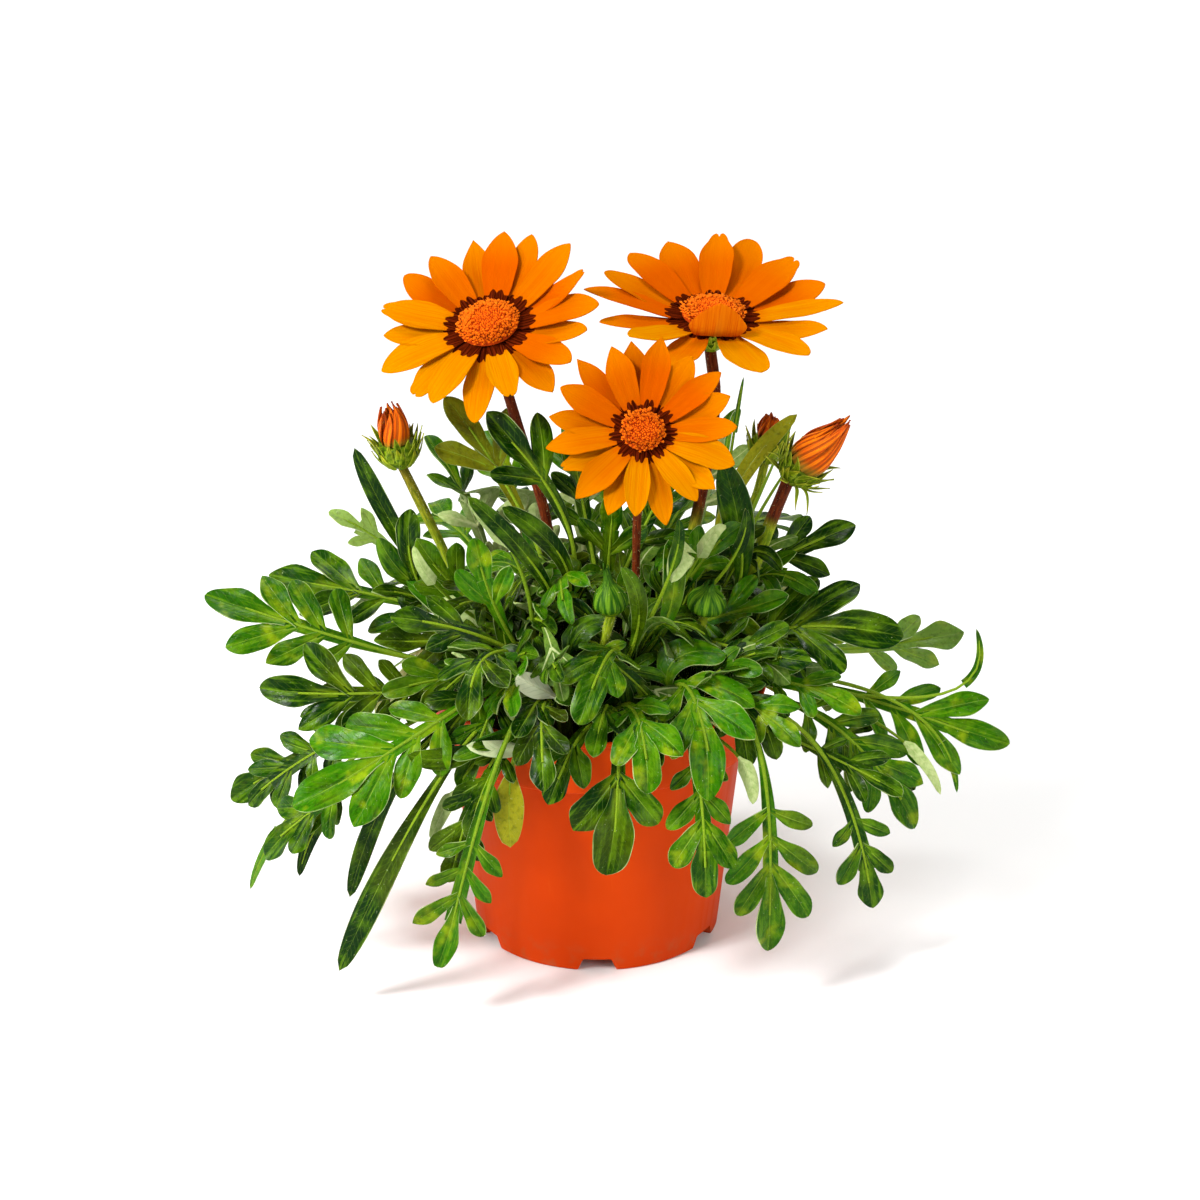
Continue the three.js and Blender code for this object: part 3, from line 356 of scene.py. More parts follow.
# the stage, in metres: each light's place, size and watts
FLOOR, WORLD_STRENGTH, LIT_POINT = 14.0, 0.34, (0, 0, 0.12)
LIGHTS = {
    "key": ((-0.9, -0.8, 1.2), 0.35, 29),
    "side": ((-1.2, -0.6, 0.45), 0.5, 8),
    "fill": ((1.0, -0.8, 0.6), 0.8, 7),
    "top": ((0.1, 0.3, 1.5), 0.6, 11),
    "back": ((0.6, 2.2, 1.8), 1.2, 14),
}
CAMERA = dict(place=(0.001, -0.890, 0.454), pitch_down=20.4, lens=81, sensor=36)

# a piece's material slots
STALK, BRACT, HAIR = 1, 2, 3
NOTHING = (0.0, 0.0, 0.0)

# ---------------------------------------------------------------- small maths


def wobble(seed, step):
    return math.sin(seed * 7.13 + step * 2.39)


def between(pair, share):
    return pair[0] + (pair[1] - pair[0]) * share


def unit(v):
    return v / np.maximum(np.linalg.norm(v, axis=-1, keepdims=True), 1e-9)


def smooth(low, high, value):
    share = np.clip((value - low) / (high - low), 0, 1)
    return share * share * (3 - 2 * share)


def circle(sides):
    return np.linspace(0, 2 * np.pi, sides, endpoint=False)


def sheet(rows, columns, foot=0.0):
    """Shares along a blade, foot to 1, as a column, and across it, -1 to 1, as a row."""
    return np.linspace(foot, 1, rows)[:, None], np.linspace(-1, 1, columns)[None, :]


def around(turn, reach, height, aside=0.0):
    """Points about the axis: a reach out and some way aside of a turn in radians."""
    c, s = np.cos(turn), np.sin(turn)
    return np.stack(np.broadcast_arrays(reach * c - aside * s, reach * s + aside * c, height), -1)


def catmull(points, samples=24):
    """A centripetal Catmull-Rom curve through the points."""
    p = [2 * points[0] - points[1], *points, 2 * points[-1] - points[-2]]
    t = np.linspace(0, 1, samples, endpoint=False)[:, None]
    out = []
    for p0, p1, p2, p3 in zip(p, p[1:], p[2:], p[3:]):
        d0, d1, d2 = (max(np.sum((b - a) ** 2) ** 0.25, 1e-4) for a, b in ((p0, p1), (p1, p2), (p2, p3)))
        m1 = d1 * ((p1 - p0) / d0 - (p2 - p0) / (d0 + d1) + (p2 - p1) / d1)
        m2 = d1 * ((p2 - p1) / d1 - (p3 - p1) / (d1 + d2) + (p3 - p2) / d2)
        out.append(p1 + m1 * t + (-3 * p1 + 3 * p2 - 2 * m1 - m2) * t**2 + (2 * p1 - 2 * p2 + m1 + m2) * t**3)
    return np.vstack([*out, points[-1]])


class Path:
    """A polyline read by length."""

    def __init__(self, points):
        self.points = np.asarray(points, float)
        steps = np.linalg.norm(np.diff(self.points, axis=0), axis=1)
        self.at = np.concatenate([[0], np.cumsum(steps)])
        self.length = self.at[-1]

    def point(self, along):
        return np.stack([np.interp(along, self.at, self.points[:, k]) for k in range(3)], -1)

    def forward(self, along):
        step = 0.01 * self.length
        low, high = np.clip(along - step, 0, self.length), np.clip(along + step, 0, self.length)
        return unit(self.point(high) - self.point(low))


def stem_path(foot, points):
    """Straight up through the soil at foot, then on through the points."""
    low = np.array((*foot, SOIL_LEVEL - STEM_SINK), float)
    soil = np.array((*foot, SOIL_LEVEL + 1), float)
    bend = catmull([soil, soil + (0, 0, STEM_RISE), *[np.array(p, float) for p in points]])
    return Path(np.vstack([low, bend]))


def outline(points):
    """A smooth path through [reach, height] points."""
    return Path(catmull([np.array((*p, 0.0), float) for p in points], 8))


# ---------------------------------------------------------------- meshes


class Skin:
    """Gathers the surfaces of one piece, with what its shaders read at each point.

    spot holds millimetres along a blade or stem, millimetres across the blade or the turn round the stem,
    and the share of its length; look holds closeness to the margin, 1 on an underside or a red-brown stem,
    and a tone of its own.
    """

    def __init__(self):
        self.points, self.faces, self.spots, self.looks, self.slots, self.count = [], [], [], [], [], 0

    def add(self, points, quads, spot=NOTHING, look=NOTHING, slot=0):
        self.points.append(points.reshape(-1, 3))
        self.faces.append(self.count + quads)
        for kept, given in ((self.spots, spot), (self.looks, look)):
            kept.append(np.stack(np.broadcast_arrays(*given, points[..., 0])[:3], -1).reshape(-1, 3))
        self.slots.append(np.full(len(quads), slot))
        self.count += points.size // 3

    def grid(self, points, spot=NOTHING, look=NOTHING, slot=0, flip=False, closed=False):
        rows, columns = points.shape[:2]
        index = np.arange(rows * columns).reshape(rows, columns)
        if closed:
            index = np.concatenate([index, index[:, :1]], axis=1)
        quads = np.stack([index[:-1, :-1], index[:-1, 1:], index[1:, 1:], index[1:, :-1]], -1).reshape(-1, 4)
        self.add(points, quads[:, ::-1] if flip else quads, spot, look, slot)

    def slab(self, middle, top, under, spot, tone, edge, slot=0):
        """A thin blade: its upper face, its underside and the margin that joins them."""
        along, across = np.gradient(middle, axis=0), np.gradient(middle, axis=1)
        normal = unit(np.cross(across, along))
        normal[-1], normal[0] = normal[-2], normal[1]
        upper = middle + normal * np.asarray(top)[..., None]
        lower = middle - normal * np.asarray(under)[..., None]
        self.grid(upper, spot, (edge, 0.0, tone), slot)
        self.grid(lower, spot, (edge, 1.0, tone), slot, flip=True)
        ring = [(slice(None), 0), (-1, slice(None)), (slice(None, None, -1), -1)]
        loop = np.concatenate([np.stack([lower[r], upper[r]], 1) for r in ring])
        spread = np.broadcast_arrays(*spot, middle[..., 0])[:3]
        marks = [np.concatenate([np.stack([s[r]] * 2, 1) for r in ring]) for s in spread]
        self.grid(loop, marks, (1.0, 0.5, tone), slot)

    def tube(self, centres, side, up, half_width, half_height, along, tone, sides, reddish):
        """A stalk along its centres."""
        turn = circle(sides)
        wide = side[:, None] * (np.cos(turn) * half_width[:, None])[..., None]
        high = up[:, None] * (np.sin(turn) * half_height[:, None])[..., None]
        share = np.linspace(0, 1, len(centres))[:, None]
        spot = (along[:, None], turn[None], share)
        self.grid(centres[:, None] + (wide + high), spot, (0.0, reddish, tone), STALK, closed=True)

    def piece(self, name, materials, record_slot, *nodes):
        mesh = bpy.data.meshes.new(name)
        points = np.vstack(self.points) * MM
        faces = np.vstack(self.faces)
        mesh.vertices.add(len(points))
        mesh.vertices.foreach_set("co", points.ravel())
        mesh.loops.add(faces.size)
        mesh.loops.foreach_set("vertex_index", faces.ravel().astype(np.int32))
        mesh.polygons.add(len(faces))
        mesh.polygons.foreach_set("loop_start", np.arange(0, faces.size, 4, dtype=np.int32))
        mesh.polygons.foreach_set("material_index", np.concatenate(self.slots).astype(np.int32))
        mesh.polygons.foreach_set("use_smooth", np.ones(len(faces), bool))
        for label, values in (("spot", self.spots), ("look", self.looks)):
            attribute = mesh.attributes.new(label, "FLOAT_VECTOR", "POINT")
            attribute.data.foreach_set("vector", np.vstack(values).ravel())
        mesh.update(calc_edges=True)
        mesh.validate()
        for material in materials:
            mesh.materials.append(material)
        piece = bpy.data.objects.new(name, mesh)
        bpy.context.scene.collection.objects.link(piece)
        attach(piece, "root")
        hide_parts(*nodes)
        return piece


# ---------------------------------------------------------------- materials


def colour(r, g, b):
    """A display colour, 0 to 255, as the linear colour that a shader takes."""
    linear = [c / 255 / 12.92 if c < 10.3 else ((c / 255 + 0.055) / 1.055) ** 2.4 for c in (r, g, b)]
    return (*linear, 1)


class Wire:
    """A node's output, which adds and multiplies like a number."""

    def __init__(self, net, socket):
        self.net, self.socket = net, socket

    def __add__(self, other):
        return self.net.math("ADD", self, other)

    def __sub__(self, other):
        return self.net.math("SUBTRACT", self, other)

    def __mul__(self, other):
        return self.net.math("MULTIPLY", self, other)

    def __pow__(self, other):
        return self.net.math("POWER", self, other)

    def __abs__(self):
        return self.net.math("ABSOLUTE", self)


class Net:
    """A material's node tree, with short names for the nodes it is made of."""

    def __init__(self, name, **sockets):
        self.material = bpy.data.materials.new(name)
        self.material.use_nodes = True
        self.tree = self.material.node_tree
        self.shader = self.tree.nodes["Principled BSDF"]
        for socket, value in sockets.items():
            self.shader.inputs[socket.replace("_", " ")].default_value = value

    def put(self, socket, value):
        if isinstance(value, Wire):
            self.tree.links.new(value.socket, socket)
        else:
            socket.default_value = value

    def node(self, kind, inputs=(), **settings):
        """Makes a node and gives its outputs, by number and by name."""
        node = self.tree.nodes.new("ShaderNode" + kind)
        for key, value in settings.items():
            setattr(node, key, value)
        for key, value in dict(inputs).items():
            self.put(node.inputs[key], value)
        return {key: Wire(self, out) for i, out in enumerate(node.outputs) for key in (i, out.name)}

    def split(self, vector):
        made = self.node("SeparateXYZ", {0: vector})
        return made["X"], made["Y"], made["Z"]

    def read(self, label):
        return self.split(self.node("Attribute", attribute_name=label)["Vector"])

    def place(self):
        return self.node("TexCoord")["Object"]

    def vector(self, x, y, z):
        return self.node("CombineXYZ", {0: x, 1: y, 2: z})[0]

    def noise(self, scale, detail, vector=None):
        inputs = {"Vector": vector or self.place(), "Scale": scale, "Detail": detail, "Roughness": 0.55}
        return self.node("TexNoise", inputs)["Fac"]

    def math(self, operation, a, b=0.0):
        return self.node("Math", {0: a, 1: b}, operation=operation)[0]

    def step(self, value, low, high, top=1.0, bottom=0.0):
        """Goes smoothly from bottom to top while value goes from low to high."""
        inputs = {"Value": value, "From Min": low, "From Max": high, "To Min": bottom, "To Max": top}
        return self.node("MapRange", inputs, interpolation_type="SMOOTHSTEP")[0]

    def mix(self, factor, a, b):
        """Goes from a to b, each a wire or a display colour."""
        a, b = (colour(*c) if isinstance(c, tuple) else c for c in (a, b))
        return self.node("Mix", {0: factor, 6: a, 7: b}, data_type="RGBA")[2]

    def coats(self, base, *layers):
        """Lays colours over a base in turn, each by its own factor."""
        for factor, coat in layers:
            base = self.mix(factor, base, coat)
        return base

    def painted_crown_shade(self):
        """How deep inside the plant's crown a point is: the mask of the painted shade that darkens leaves and
        stalks there.
        """
        x, y, z = self.split(self.place())
        return self.step(x**2 + y**2, 0.0045, 0.0014) * self.step(z, 0.134, 0.094, 0.85)

    def finish(self, base, roughness, height=None, strength=0.0, distance=0.0):
        self.put(self.shader.inputs["Base Color"], base)
        self.put(self.shader.inputs["Roughness"], roughness)
        if height:
            bump = self.node("Bump", {"Height": height, "Strength": strength, "Distance": distance})
            self.put(self.shader.inputs["Normal"], bump[0])
        return self.material


def leaf_material():
    net = Net("leaf_blade", Specular_IOR_Level=0.07, Subsurface_Weight=0.04, Subsurface_Scale=0.001)
    along, across, share = net.read("spot")
    edge, under, tone = net.read("look")
    wide = abs(across)
    patch, fine = net.noise(95, 3), net.noise(620, 3)
    streak = net.noise(1.0, 3, net.vector(along * 0.07, across * 0.8, tone))
    # painted light: soft yellow sunlit patches on the lighter leaves
    painted_sun_patch = net.step(net.noise(120, 2), 0.54, 0.74, 0.55) * net.step(tone, 0.15, 0.7)
    beat = net.math("PINGPONG", along - wide * 1.5 + net.noise(260, 2) * 1.3, 1.5)
    vein = net.step(beat, 0.34, 0.0) * net.step(edge, 0.95, 0.5)
    midrib = net.step(wide + share * 0.34, 0.5, 0.22)
    glow = net.step(share, 0.45, 0.0) * net.step(edge, 0.85, 0.1)
    # painted highlight: a pale line along parts of the margin, where the edge catches the light
    rim = net.step(edge, 0.955, 0.99) * net.step(net.noise(60, 2), 0.44, 0.68, 0.7, 0.04)
    green = net.coats(
        net.mix(net.step(tone, 0.1, 0.95), (6, 38, 0), (46, 104, 0)),
        (net.step(patch, 0.45, 0.76, 0.5), (98, 142, 6)),
        # lengthwise streaks of lighter and darker green: partly the leaf's own veining, partly painted gloss
        # highlights and painted shade along its folds
        (net.step(streak, 0.5, 0.72, 0.5), (100, 140, 16)),
        (net.step(streak, 0.5, 0.3, 0.6), (7, 32, 0)),
        (painted_sun_patch, (150, 166, 18)),
        (net.step(net.noise(24, 2), 0.52, 0.68, 0.35), (78, 92, 4)),
        (net.step(tone, 1.0, 1.7), (122, 148, 68)),
        (net.step(tone, 0.0, -0.8), (136, 134, 22)),
        (net.step(fine, 0.45, 0.8, 0.5), (6, 28, 0)),
        (vein * 0.11, (116, 150, 34)),
        (glow * 0.45, (146, 168, 18)),
        (midrib * net.step(patch, 0.3, 0.7, 0.7, 0.2), (124, 156, 40)),
        # painted glints: tiny whitish specks of highlight
        (net.step(net.noise(1500, 1), 0.72, 0.8, 0.4), (180, 196, 140)),
        (rim, (188, 204, 138)),
    )
    woolly = net.mix(net.step(fine, 0.3, 0.7), (148, 170, 98), (178, 192, 128))
    thin = net.mix(net.step(fine, 0.3, 0.7), (58, 90, 18), (92, 120, 38))
    pale = net.coats(
        net.mix(net.step(tone, 0.35, 0.6), thin, woolly),
        (net.step(tone, 1.0, 1.3), (216, 222, 186)),
        (midrib * 0.7, (190, 200, 140)),
        (vein * 0.3, (112, 138, 70)),
    )
    # painted shade: the leaves go dark green deep inside the crown, where they shade each other
    base = net.mix(net.painted_crown_shade(), net.mix(under, green, pale), (6, 18, 0))
    rough = net.step(net.noise(420, 2), 0.3, 0.7, 0.36, 0.2) + under * 0.22
    return net.finish(base, rough, fine * 0.7 + vein * -0.45 - midrib * 0.9, 0.45, 0.0003)


def rib_material():
    net = Net("leaf_rib", Specular_IOR_Level=0.12, Subsurface_Weight=0.05, Subsurface_Scale=0.001)
    along, turn, share = net.read("spot")
    _, reddish, tone = net.read("look")
    sine = net.math("SINE", turn)
    streak = net.noise(60, 3, net.vector(along * 0.02, sine, tone))
    shade = net.step(share, 0.4, 0.0) * net.step(net.noise(140, 2), 0.4, 0.6)
    green = net.coats(
        net.mix(net.step(streak, 0.35, 0.65), (88, 124, 8), (148, 172, 32)),
        (net.step(tone, 0, 1, 0.35), (58, 100, 14)),
        (shade * 0.5, (112, 78, 40)),
    )
    brown = net.mix(net.step(streak, 0.3, 0.7), (88, 34, 20), (140, 66, 34))
    # painted shade: the stalks go half way to dark green deep inside the crown
    base = net.mix(net.painted_crown_shade() * 0.5, net.mix(reddish, green, brown), (16, 22, 0))
    height = net.noise(500, 2, net.vector(along * 0.003, sine, tone))
    return net.finish(base, net.step(streak, 0.3, 0.7, 0.6, 0.4), height, 0.5, 0.0003)


def petal_material():
    """Orange rays; look.x is the distance from the midline in pitches of the petals."""
    net = Net("petal", Specular_IOR_Level=0.0, Subsurface_Weight=0.12, Subsurface_Scale=0.0012)
    net.shader.inputs["Subsurface Radius"].default_value = (1.0, 0.45, 0.1)
    beyond, across, share = net.read("spot")
    edge, behind, tone = net.read("look")
    lines = net.vector(beyond * 0.05, across * 2.2, tone)
    streak = net.noise(1.0, 3, lines)
    tooth = (abs(edge - 0.24) * 4.2) ** 2.4 * 1.3
    tongue = beyond + net.math("MINIMUM", tooth, 2.2) + net.noise(900, 2) * 1.1 + tone * 0.5
    dark = net.mix(net.step(net.noise(1.6, 2, lines), 0.42, 0.62), (44, 8, 0), (92, 27, 6))
    stripe = net.step(abs(across), 1.6, 0.3) * net.step(share, 0.95, 0.2)
    front = net.coats(
        net.mix(net.step(tone, 0, 1), (174, 71, 0), (182, 114, 0)),
        (net.step(streak, 0.38, 0.68, 0.45), (169, 69, 0)),
        (net.step(share, 0.5, 1.0, 0.4), (193, 120, 0)),
        (net.step(share, 0.34, 0.12, 0.5), (175, 64, 0)),
        (net.step(tongue, 0.85, 0.45), dark),
    )
    back = net.mix(net.step(streak, 0.35, 0.65), (176, 74, 2), (190, 98, 4))
    back = net.mix(stripe * 0.35, back, (140, 84, 24))
    base = net.mix(net.step(behind, 0.55, 0.9), front, back)
    return net.finish(base, net.step(streak, 0.3, 0.7, 0.55, 0.42), streak, 0.35, 0.0003)


def bud_petal_material():
    net = Net("bud_petal", Specular_IOR_Level=0.06, Subsurface_Weight=0.1, Subsurface_Scale=0.001)
    beyond, across, share = net.read("spot")
    edge, _, tone = net.read("look")
    streak = net.noise(1.0, 3, net.vector(beyond * 0.06, across * 2.6, tone))
    keel = net.step(abs(across), 0.75, 0.15) * net.step(share, 1.0, 0.7)
    base = net.coats(
        net.mix(net.step(streak, 0.35, 0.65), (232, 122, 6), (204, 78, 2)),
        (keel * 0.7, (112, 46, 8)),
        (net.step(share, 0.86, 1.0, 0.7), (110, 40, 10)),
        (net.step(edge, 0.55, 1.0, 0.75), (118, 38, 6)),
        (net.step(share, 0.25, 0.0, 0.6), (150, 150, 50)),
    )
    return net.finish(base, net.step(streak, 0.3, 0.7, 0.6, 0.45), streak, 0.5, 0.0003)


def disc_material():
    """Florets, and at a tone of 2 the anthers among them."""
    net = Net("floret", Specular_IOR_Level=0.05)
    _, _, share = net.read("spot")
    _, _, tone = net.read("look")
    base = net.coats(
        net.mix(net.step(tone, 0.1, 0.9), (196, 62, 2), (226, 100, 6)),
        (net.step(share, 0.35, 0.9, 0.6), (236, 122, 14)),
        (net.step(tone, 1.4, 1.6), net.mix(net.step(share, 0.75, 1.0), (112, 42, 6), (226, 104, 10))),
        (net.step(share, 0.25, 0.0), (118, 34, 4)),
    )
    return net.finish(base, 0.75, net.noise(1800, 2), 0.4, 0.0002)


def bract_material():
    """Yellow-green bracts, and at tones under 0 the fresh green of a closed bud."""
    net = Net("bract", Specular_IOR_Level=0.08)
    along, across, share = net.read("spot")
    edge, _, tone = net.read("look")
    fine = net.noise(700, 3)
    streak = net.noise(1.0, 3, net.vector(along * 0.08, across * 1.1, tone))
    fresh = net.coats(
        net.mix(net.step(streak, 0.36, 0.66), (30, 74, 4), (100, 140, 24)),
        (net.step(share, 0.62, 0.95, 0.6), (30, 70, 6)),
        (net.step(edge, 0.82, 1.0, 0.6), (26, 64, 4)),
    )
    green = net.coats(
        net.mix(net.step(fine, 0.35, 0.7), (56, 84, 2), (114, 138, 12)),
        (net.step(tone, 0.2, 1.0, 0.45), (152, 168, 22)),
        (net.step(share, 0.55, 1.0, 0.75) * net.step(tone, 0.3, 0.8, 1.0, 0.3), (190, 178, 36)),
        (net.step(edge, 0.75, 0.98, 0.45), (184, 192, 62)),
        (net.step(abs(across), 0.25, 0.08, 0.5), (52, 72, 4)),
        (net.step(tone, 0.0, -0.4), fresh),
    )
    return net.finish(green, 0.5, fine, 0.35, 0.0003)


def hair_material():
    net = Net("hair", Specular_IOR_Level=0.1)
    return net.finish(net.mix(net.noise(300, 1), (158, 160, 96), (204, 202, 150)), 0.6)


def flower_stem_material(name):
    """Red-brown above and yellow-green below."""
    net = Net("stem_" + name.removeprefix("bloom_"), Specular_IOR_Level=0.06)
    along, turn, share = net.read("spot")
    sine, cosine = net.math("SINE", turn), net.math("COSINE", turn)
    streak = net.noise(3, 3, net.vector(along * 0.08, sine, cosine))
    green = net.mix(net.step(streak, 0.35, 0.65), (96, 122, 12), (152, 168, 34))
    brown = net.mix(net.step(streak, 0.3, 0.7), (64, 21, 6), (112, 46, 14))
    base = net.mix(net.step(share, *STEM_TURNS[name]), green, brown)
    groove = net.noise(6, 1, net.vector(along * 0.01, sine, cosine))
    return net.finish(base, net.step(streak, 0.3, 0.7, 0.6, 0.42), groove, 0.5, 0.0005)


def pot_material():
    net = Net("pot_plastic", Specular_IOR_Level=0.05)
    x, y, z = net.split(net.place())
    scuff = net.noise(320, 4, net.vector(x, y, z * 0.05))
    dust = net.step(z, 0.014, 0.0) * net.step(net.noise(180, 3), 0.45, 0.7)
    base = net.coats(
        net.mix(net.step(net.noise(22, 3), 0.3, 0.7), (194, 57, 0), (201, 62, 2)),
        (net.step(z, 0.03, 0.0, 0.18), (170, 44, 8)),
        (net.step(scuff, 0.64, 0.8, 0.2), (214, 92, 36)),
        (dust * 0.35, (140, 92, 60)),
    )
    rough = net.step(scuff, 0.35, 0.75, 0.62, 0.46)
    return net.finish(base, rough, net.noise(1400, 2) * 0.3 + scuff, 0.12, 0.0003)


def soil_material():
    """Peat, with a few pale grains at tones over 0.9."""
    net = Net("peat", Specular_IOR_Level=0.2)
    _, _, tone = net.read("look")
    grain, clod = net.noise(900, 4), net.noise(160, 3)
    moss = net.step(net.noise(70, 3), 0.6, 0.72) * net.step(tone, 0.5, 0.3)
    base = net.coats(
        net.mix(net.step(grain, 0.35, 0.7), (26, 16, 10), (72, 48, 32)),
        (net.step(clod, 0.55, 0.75, 0.5), (96, 66, 42)),
        (net.step(tone, 0.9, 0.94), (206, 196, 176)),
        (moss * 0.4, (70, 84, 30)),
    )
    return net.finish(base, 0.92, grain + clod, 0.9, 0.0008)


LEAF_LOOKS = [leaf_material(), rib_material()]
PETAL_LOOK, BUD_LOOK, DISC_LOOK = petal_material(), bud_petal_material(), disc_material()
BRACT_LOOK, HAIR_LOOK = bract_material(), hair_material()

# ---------------------------------------------------------------- leaves


class Rib:
    """A midrib from base through mid to tip, its upper side turned towards face."""

    def __init__(self, base, mid, tip, face, twist=0.0):
        mid, tip = np.asarray(mid, float), np.asarray(tip, float)
        bend = 2 * mid - (base + tip) / 2
        t = np.linspace(0, 1, 120)[:, None]
        self.path = Path((1 - t) ** 2 * base + 2 * t * (1 - t) * bend + t * t * tip)
        self.length = self.path.length
        self.face, self.twist = np.asarray(face, float), twist

    def frame(self, along):
        inside = np.clip(along, 0, self.length)
        forward = self.path.forward(inside)
        side = unit(np.cross(forward, self.face))
        up = np.cross(side, forward)
        turn = self.twist * (inside / self.length)[..., None] ** 2
        side, up = side * np.cos(turn) + up * np.sin(turn), up * np.cos(turn) - side * np.sin(turn)
        return self.path.point(inside) + forward * (along - inside)[..., None], side, up

    def place(self, along, across, lift):
        centre, side, up = self.frame(along)
        rise = lift + LEAF["fold"] * (np.sqrt(across**2 + 0.6) - 0.77) - across**2 / LEAF["droop"]
        return centre + side * across[..., None] + up * rise[..., None]


def lobe_shape(skin, rib, rng, start, side, length, half_width, angle, tone, young, blunt):
    """One rounded lobe that leaves the midrib at start, or ends the leaf where side is 0."""
    blunt = rng.uniform(*blunt)
    s, t = sheet(*LOBE_GRID[young])
    s = 1 - (1 - s) ** 1.5
    widest = 0.62 + 0.06 * rng.random()
    rise = 0.3 + 0.7 * np.sin(np.pi / 2 * np.clip(s / widest, 0, 1)) ** 1.5
    fall = np.clip(1 - (np.clip(s - widest, 0, 1) / (1 - widest)) ** 2, 0, 1) ** blunt
    width = half_width * np.where(s < widest, rise, fall)
    ruffle = 0.08 * np.sin(9 * s + 6.28 * rng.random() + 0.9 * t) * np.abs(t) ** 2
    width = width * (1 + 0.07 * np.sin(11 * s + 6.28 * rng.random()) * np.abs(t))
    offset, reach = t * width, s * length
    aside = offset + length * rng.uniform(-0.05, 0.07) * s**2
    along = start + reach * math.cos(angle) - side * aside * math.sin(angle)
    across = side * reach * math.sin(angle) + aside * math.cos(angle)
    cup = rng.uniform(-0.3, 0.1)
    crease = rng.uniform(0.08, 0.42) * (np.sqrt(offset**2 + 0.3) - 0.55)
    lift = cup * np.abs(t) ** 2 * width + crease - 0.3 * np.exp(-((offset / 0.55) ** 2)) * (1 - 0.6 * s)
    lift = lift + width * ruffle * 2.2 + rng.uniform(-0.2, 0.06) * length * s**2
    lift = lift + rng.uniform(-0.34, 0.34) * offset * s
    ridge = 0.55 * np.exp(-((offset / 0.5) ** 2)) * (1 - 0.85 * s)
    body = 0.3 - 0.12 * np.abs(t) ** 3
    skin.slab(rib.place(along, across, lift), body, body + ridge, (reach, offset, s), tone, np.abs(t))


def stalk_shape(skin, rib, last, widths, tone):
    """The round rib under a leaf, up to last."""
    rows = 20
    along = np.linspace(-1.5, last, rows)
    centre, side, up = rib.frame(along)
    half = between(widths, np.linspace(0, 1, rows))
    skin.tube(centre + up * 0.1, side, up, half, 0.8 * half, along, tone, 8, 0.0)


def blade_shape(skin, rib, rng, lobe, broad, tone, young):
    """One plain blade that widens towards a rounded end."""
    half, neck, widest = lobe * broad, 0.5 if young else 1.2, 0.76
    foot = 1 - 2 * lobe / rib.length if young else 0.18
    s, t = sheet(*BLADE_GRID[young], max(foot, 0.18))
    low = neck + (half - neck) * smooth(max(foot, 0.22), widest, s)
    width = np.where(s < widest, low, half * np.sqrt(np.clip(1 - ((s - widest) / (1 - widest)) ** 2, 0, 1)))
    offset, along = t * width, s * rib.length
    wave = 0.12 * width * np.sin(12 * s + 6.28 * rng.random()) * t**2
    lift = wave - 0.3 * np.exp(-((offset / 0.6) ** 2)) * (1 - s) + rng.uniform(-0.2, 0.2) * offset * s
    ridge = 0.6 * np.exp(-((offset / 0.55) ** 2)) * (1 - 0.8 * s)
    body = 0.32 - 0.12 * np.abs(t) ** 3
    skin.slab(rib.place(along, offset, lift), body, body + ridge, (along, offset, s), tone, np.abs(t))
    stalk_shape(skin, rib, max(0.62, min(foot + 0.2, 0.96)) * rib.length, (LEAF["rib"], 0.35), tone)


def leaf_shape(skin, rib, rng, pairs, lobe, broad, seed, tone, young=False):
    """A leaf as the frame has it: stalk, pairs of side lobes and an end lobe, or one plain blade."""
    if pairs == 0:
        blade_shape(skin, rib, rng, lobe, broad, tone, young)
        return
    end = LEAF["end_lobe"] * lobe
    step = min(LEAF["pair_step"], (LEAF["lobed_share"] * rib.length - end) / pairs)
    start = rib.length - end - pairs * step
    s, t = sheet(14, 5)
    first, last = (0.9 if young else 0.55) * start, rib.length - 0.75 * end
    offset = t * (0.9 + (between(LEAF["web"], s) - 0.9) * smooth(0.0, 0.5, s))
    along = first + s * (last - first)
    body = 0.34 - 0.12 * np.abs(t)
    skin.slab(rib.place(along, offset, -0.1), body, body, (along, offset, 0.5), tone, np.abs(t) * 0.9)
    for i in range(pairs):
        share = (i + 1) / pairs
        root = start + (i + 0.5) * step
        for side in (1, -1):
            length = lobe * (between(LEAF["lobe_lengths"], share) + 0.1 * wobble(seed, 2 * i + side))
            degrees = between(LEAF["lobe_degrees"], share) + 5 * wobble(seed, 5 + 3 * i - side)
            own = tone + rng.uniform(-0.2, 0.2) * (0 < tone < 1)
            form = (root, side, length, 0.96 * broad * length, math.radians(degrees), own)
            lobe_shape(skin, rib, rng, *form, young, LEAF["side_tips"])
    lobe_shape(skin, rib, rng, rib.length - end, 0, end, 0.98 * broad * end, 0, tone, young, LEAF["end_tip"])
    stalk_shape(skin, rib, rib.length - 0.5 * end, (0.75 if young else LEAF["rib"], 0.4), tone)


def stem_shape(skin, path, radius, tone, reddish, sides=12, rows=40, swell=0.0):
    """A round stem from under the soil's surface; gives its middle line, sides and half-widths."""
    along = np.linspace(STEM_HIDDEN, path.length, rows)
    centre, forward = path.point(along), path.forward(along)
    side = unit(np.cross(forward, np.array((0.0, -1.0, 0.15))))
    up = np.cross(side, forward)
    share = np.linspace(0, 1, rows)
    half = radius * (1 + swell * (1 - share) ** 3 + 0.05 * np.sin(share * 17 + tone * 9))
    skin.tube(centre, side, up, half, half, along, tone, sides, reddish)
    return centre, side, up, half


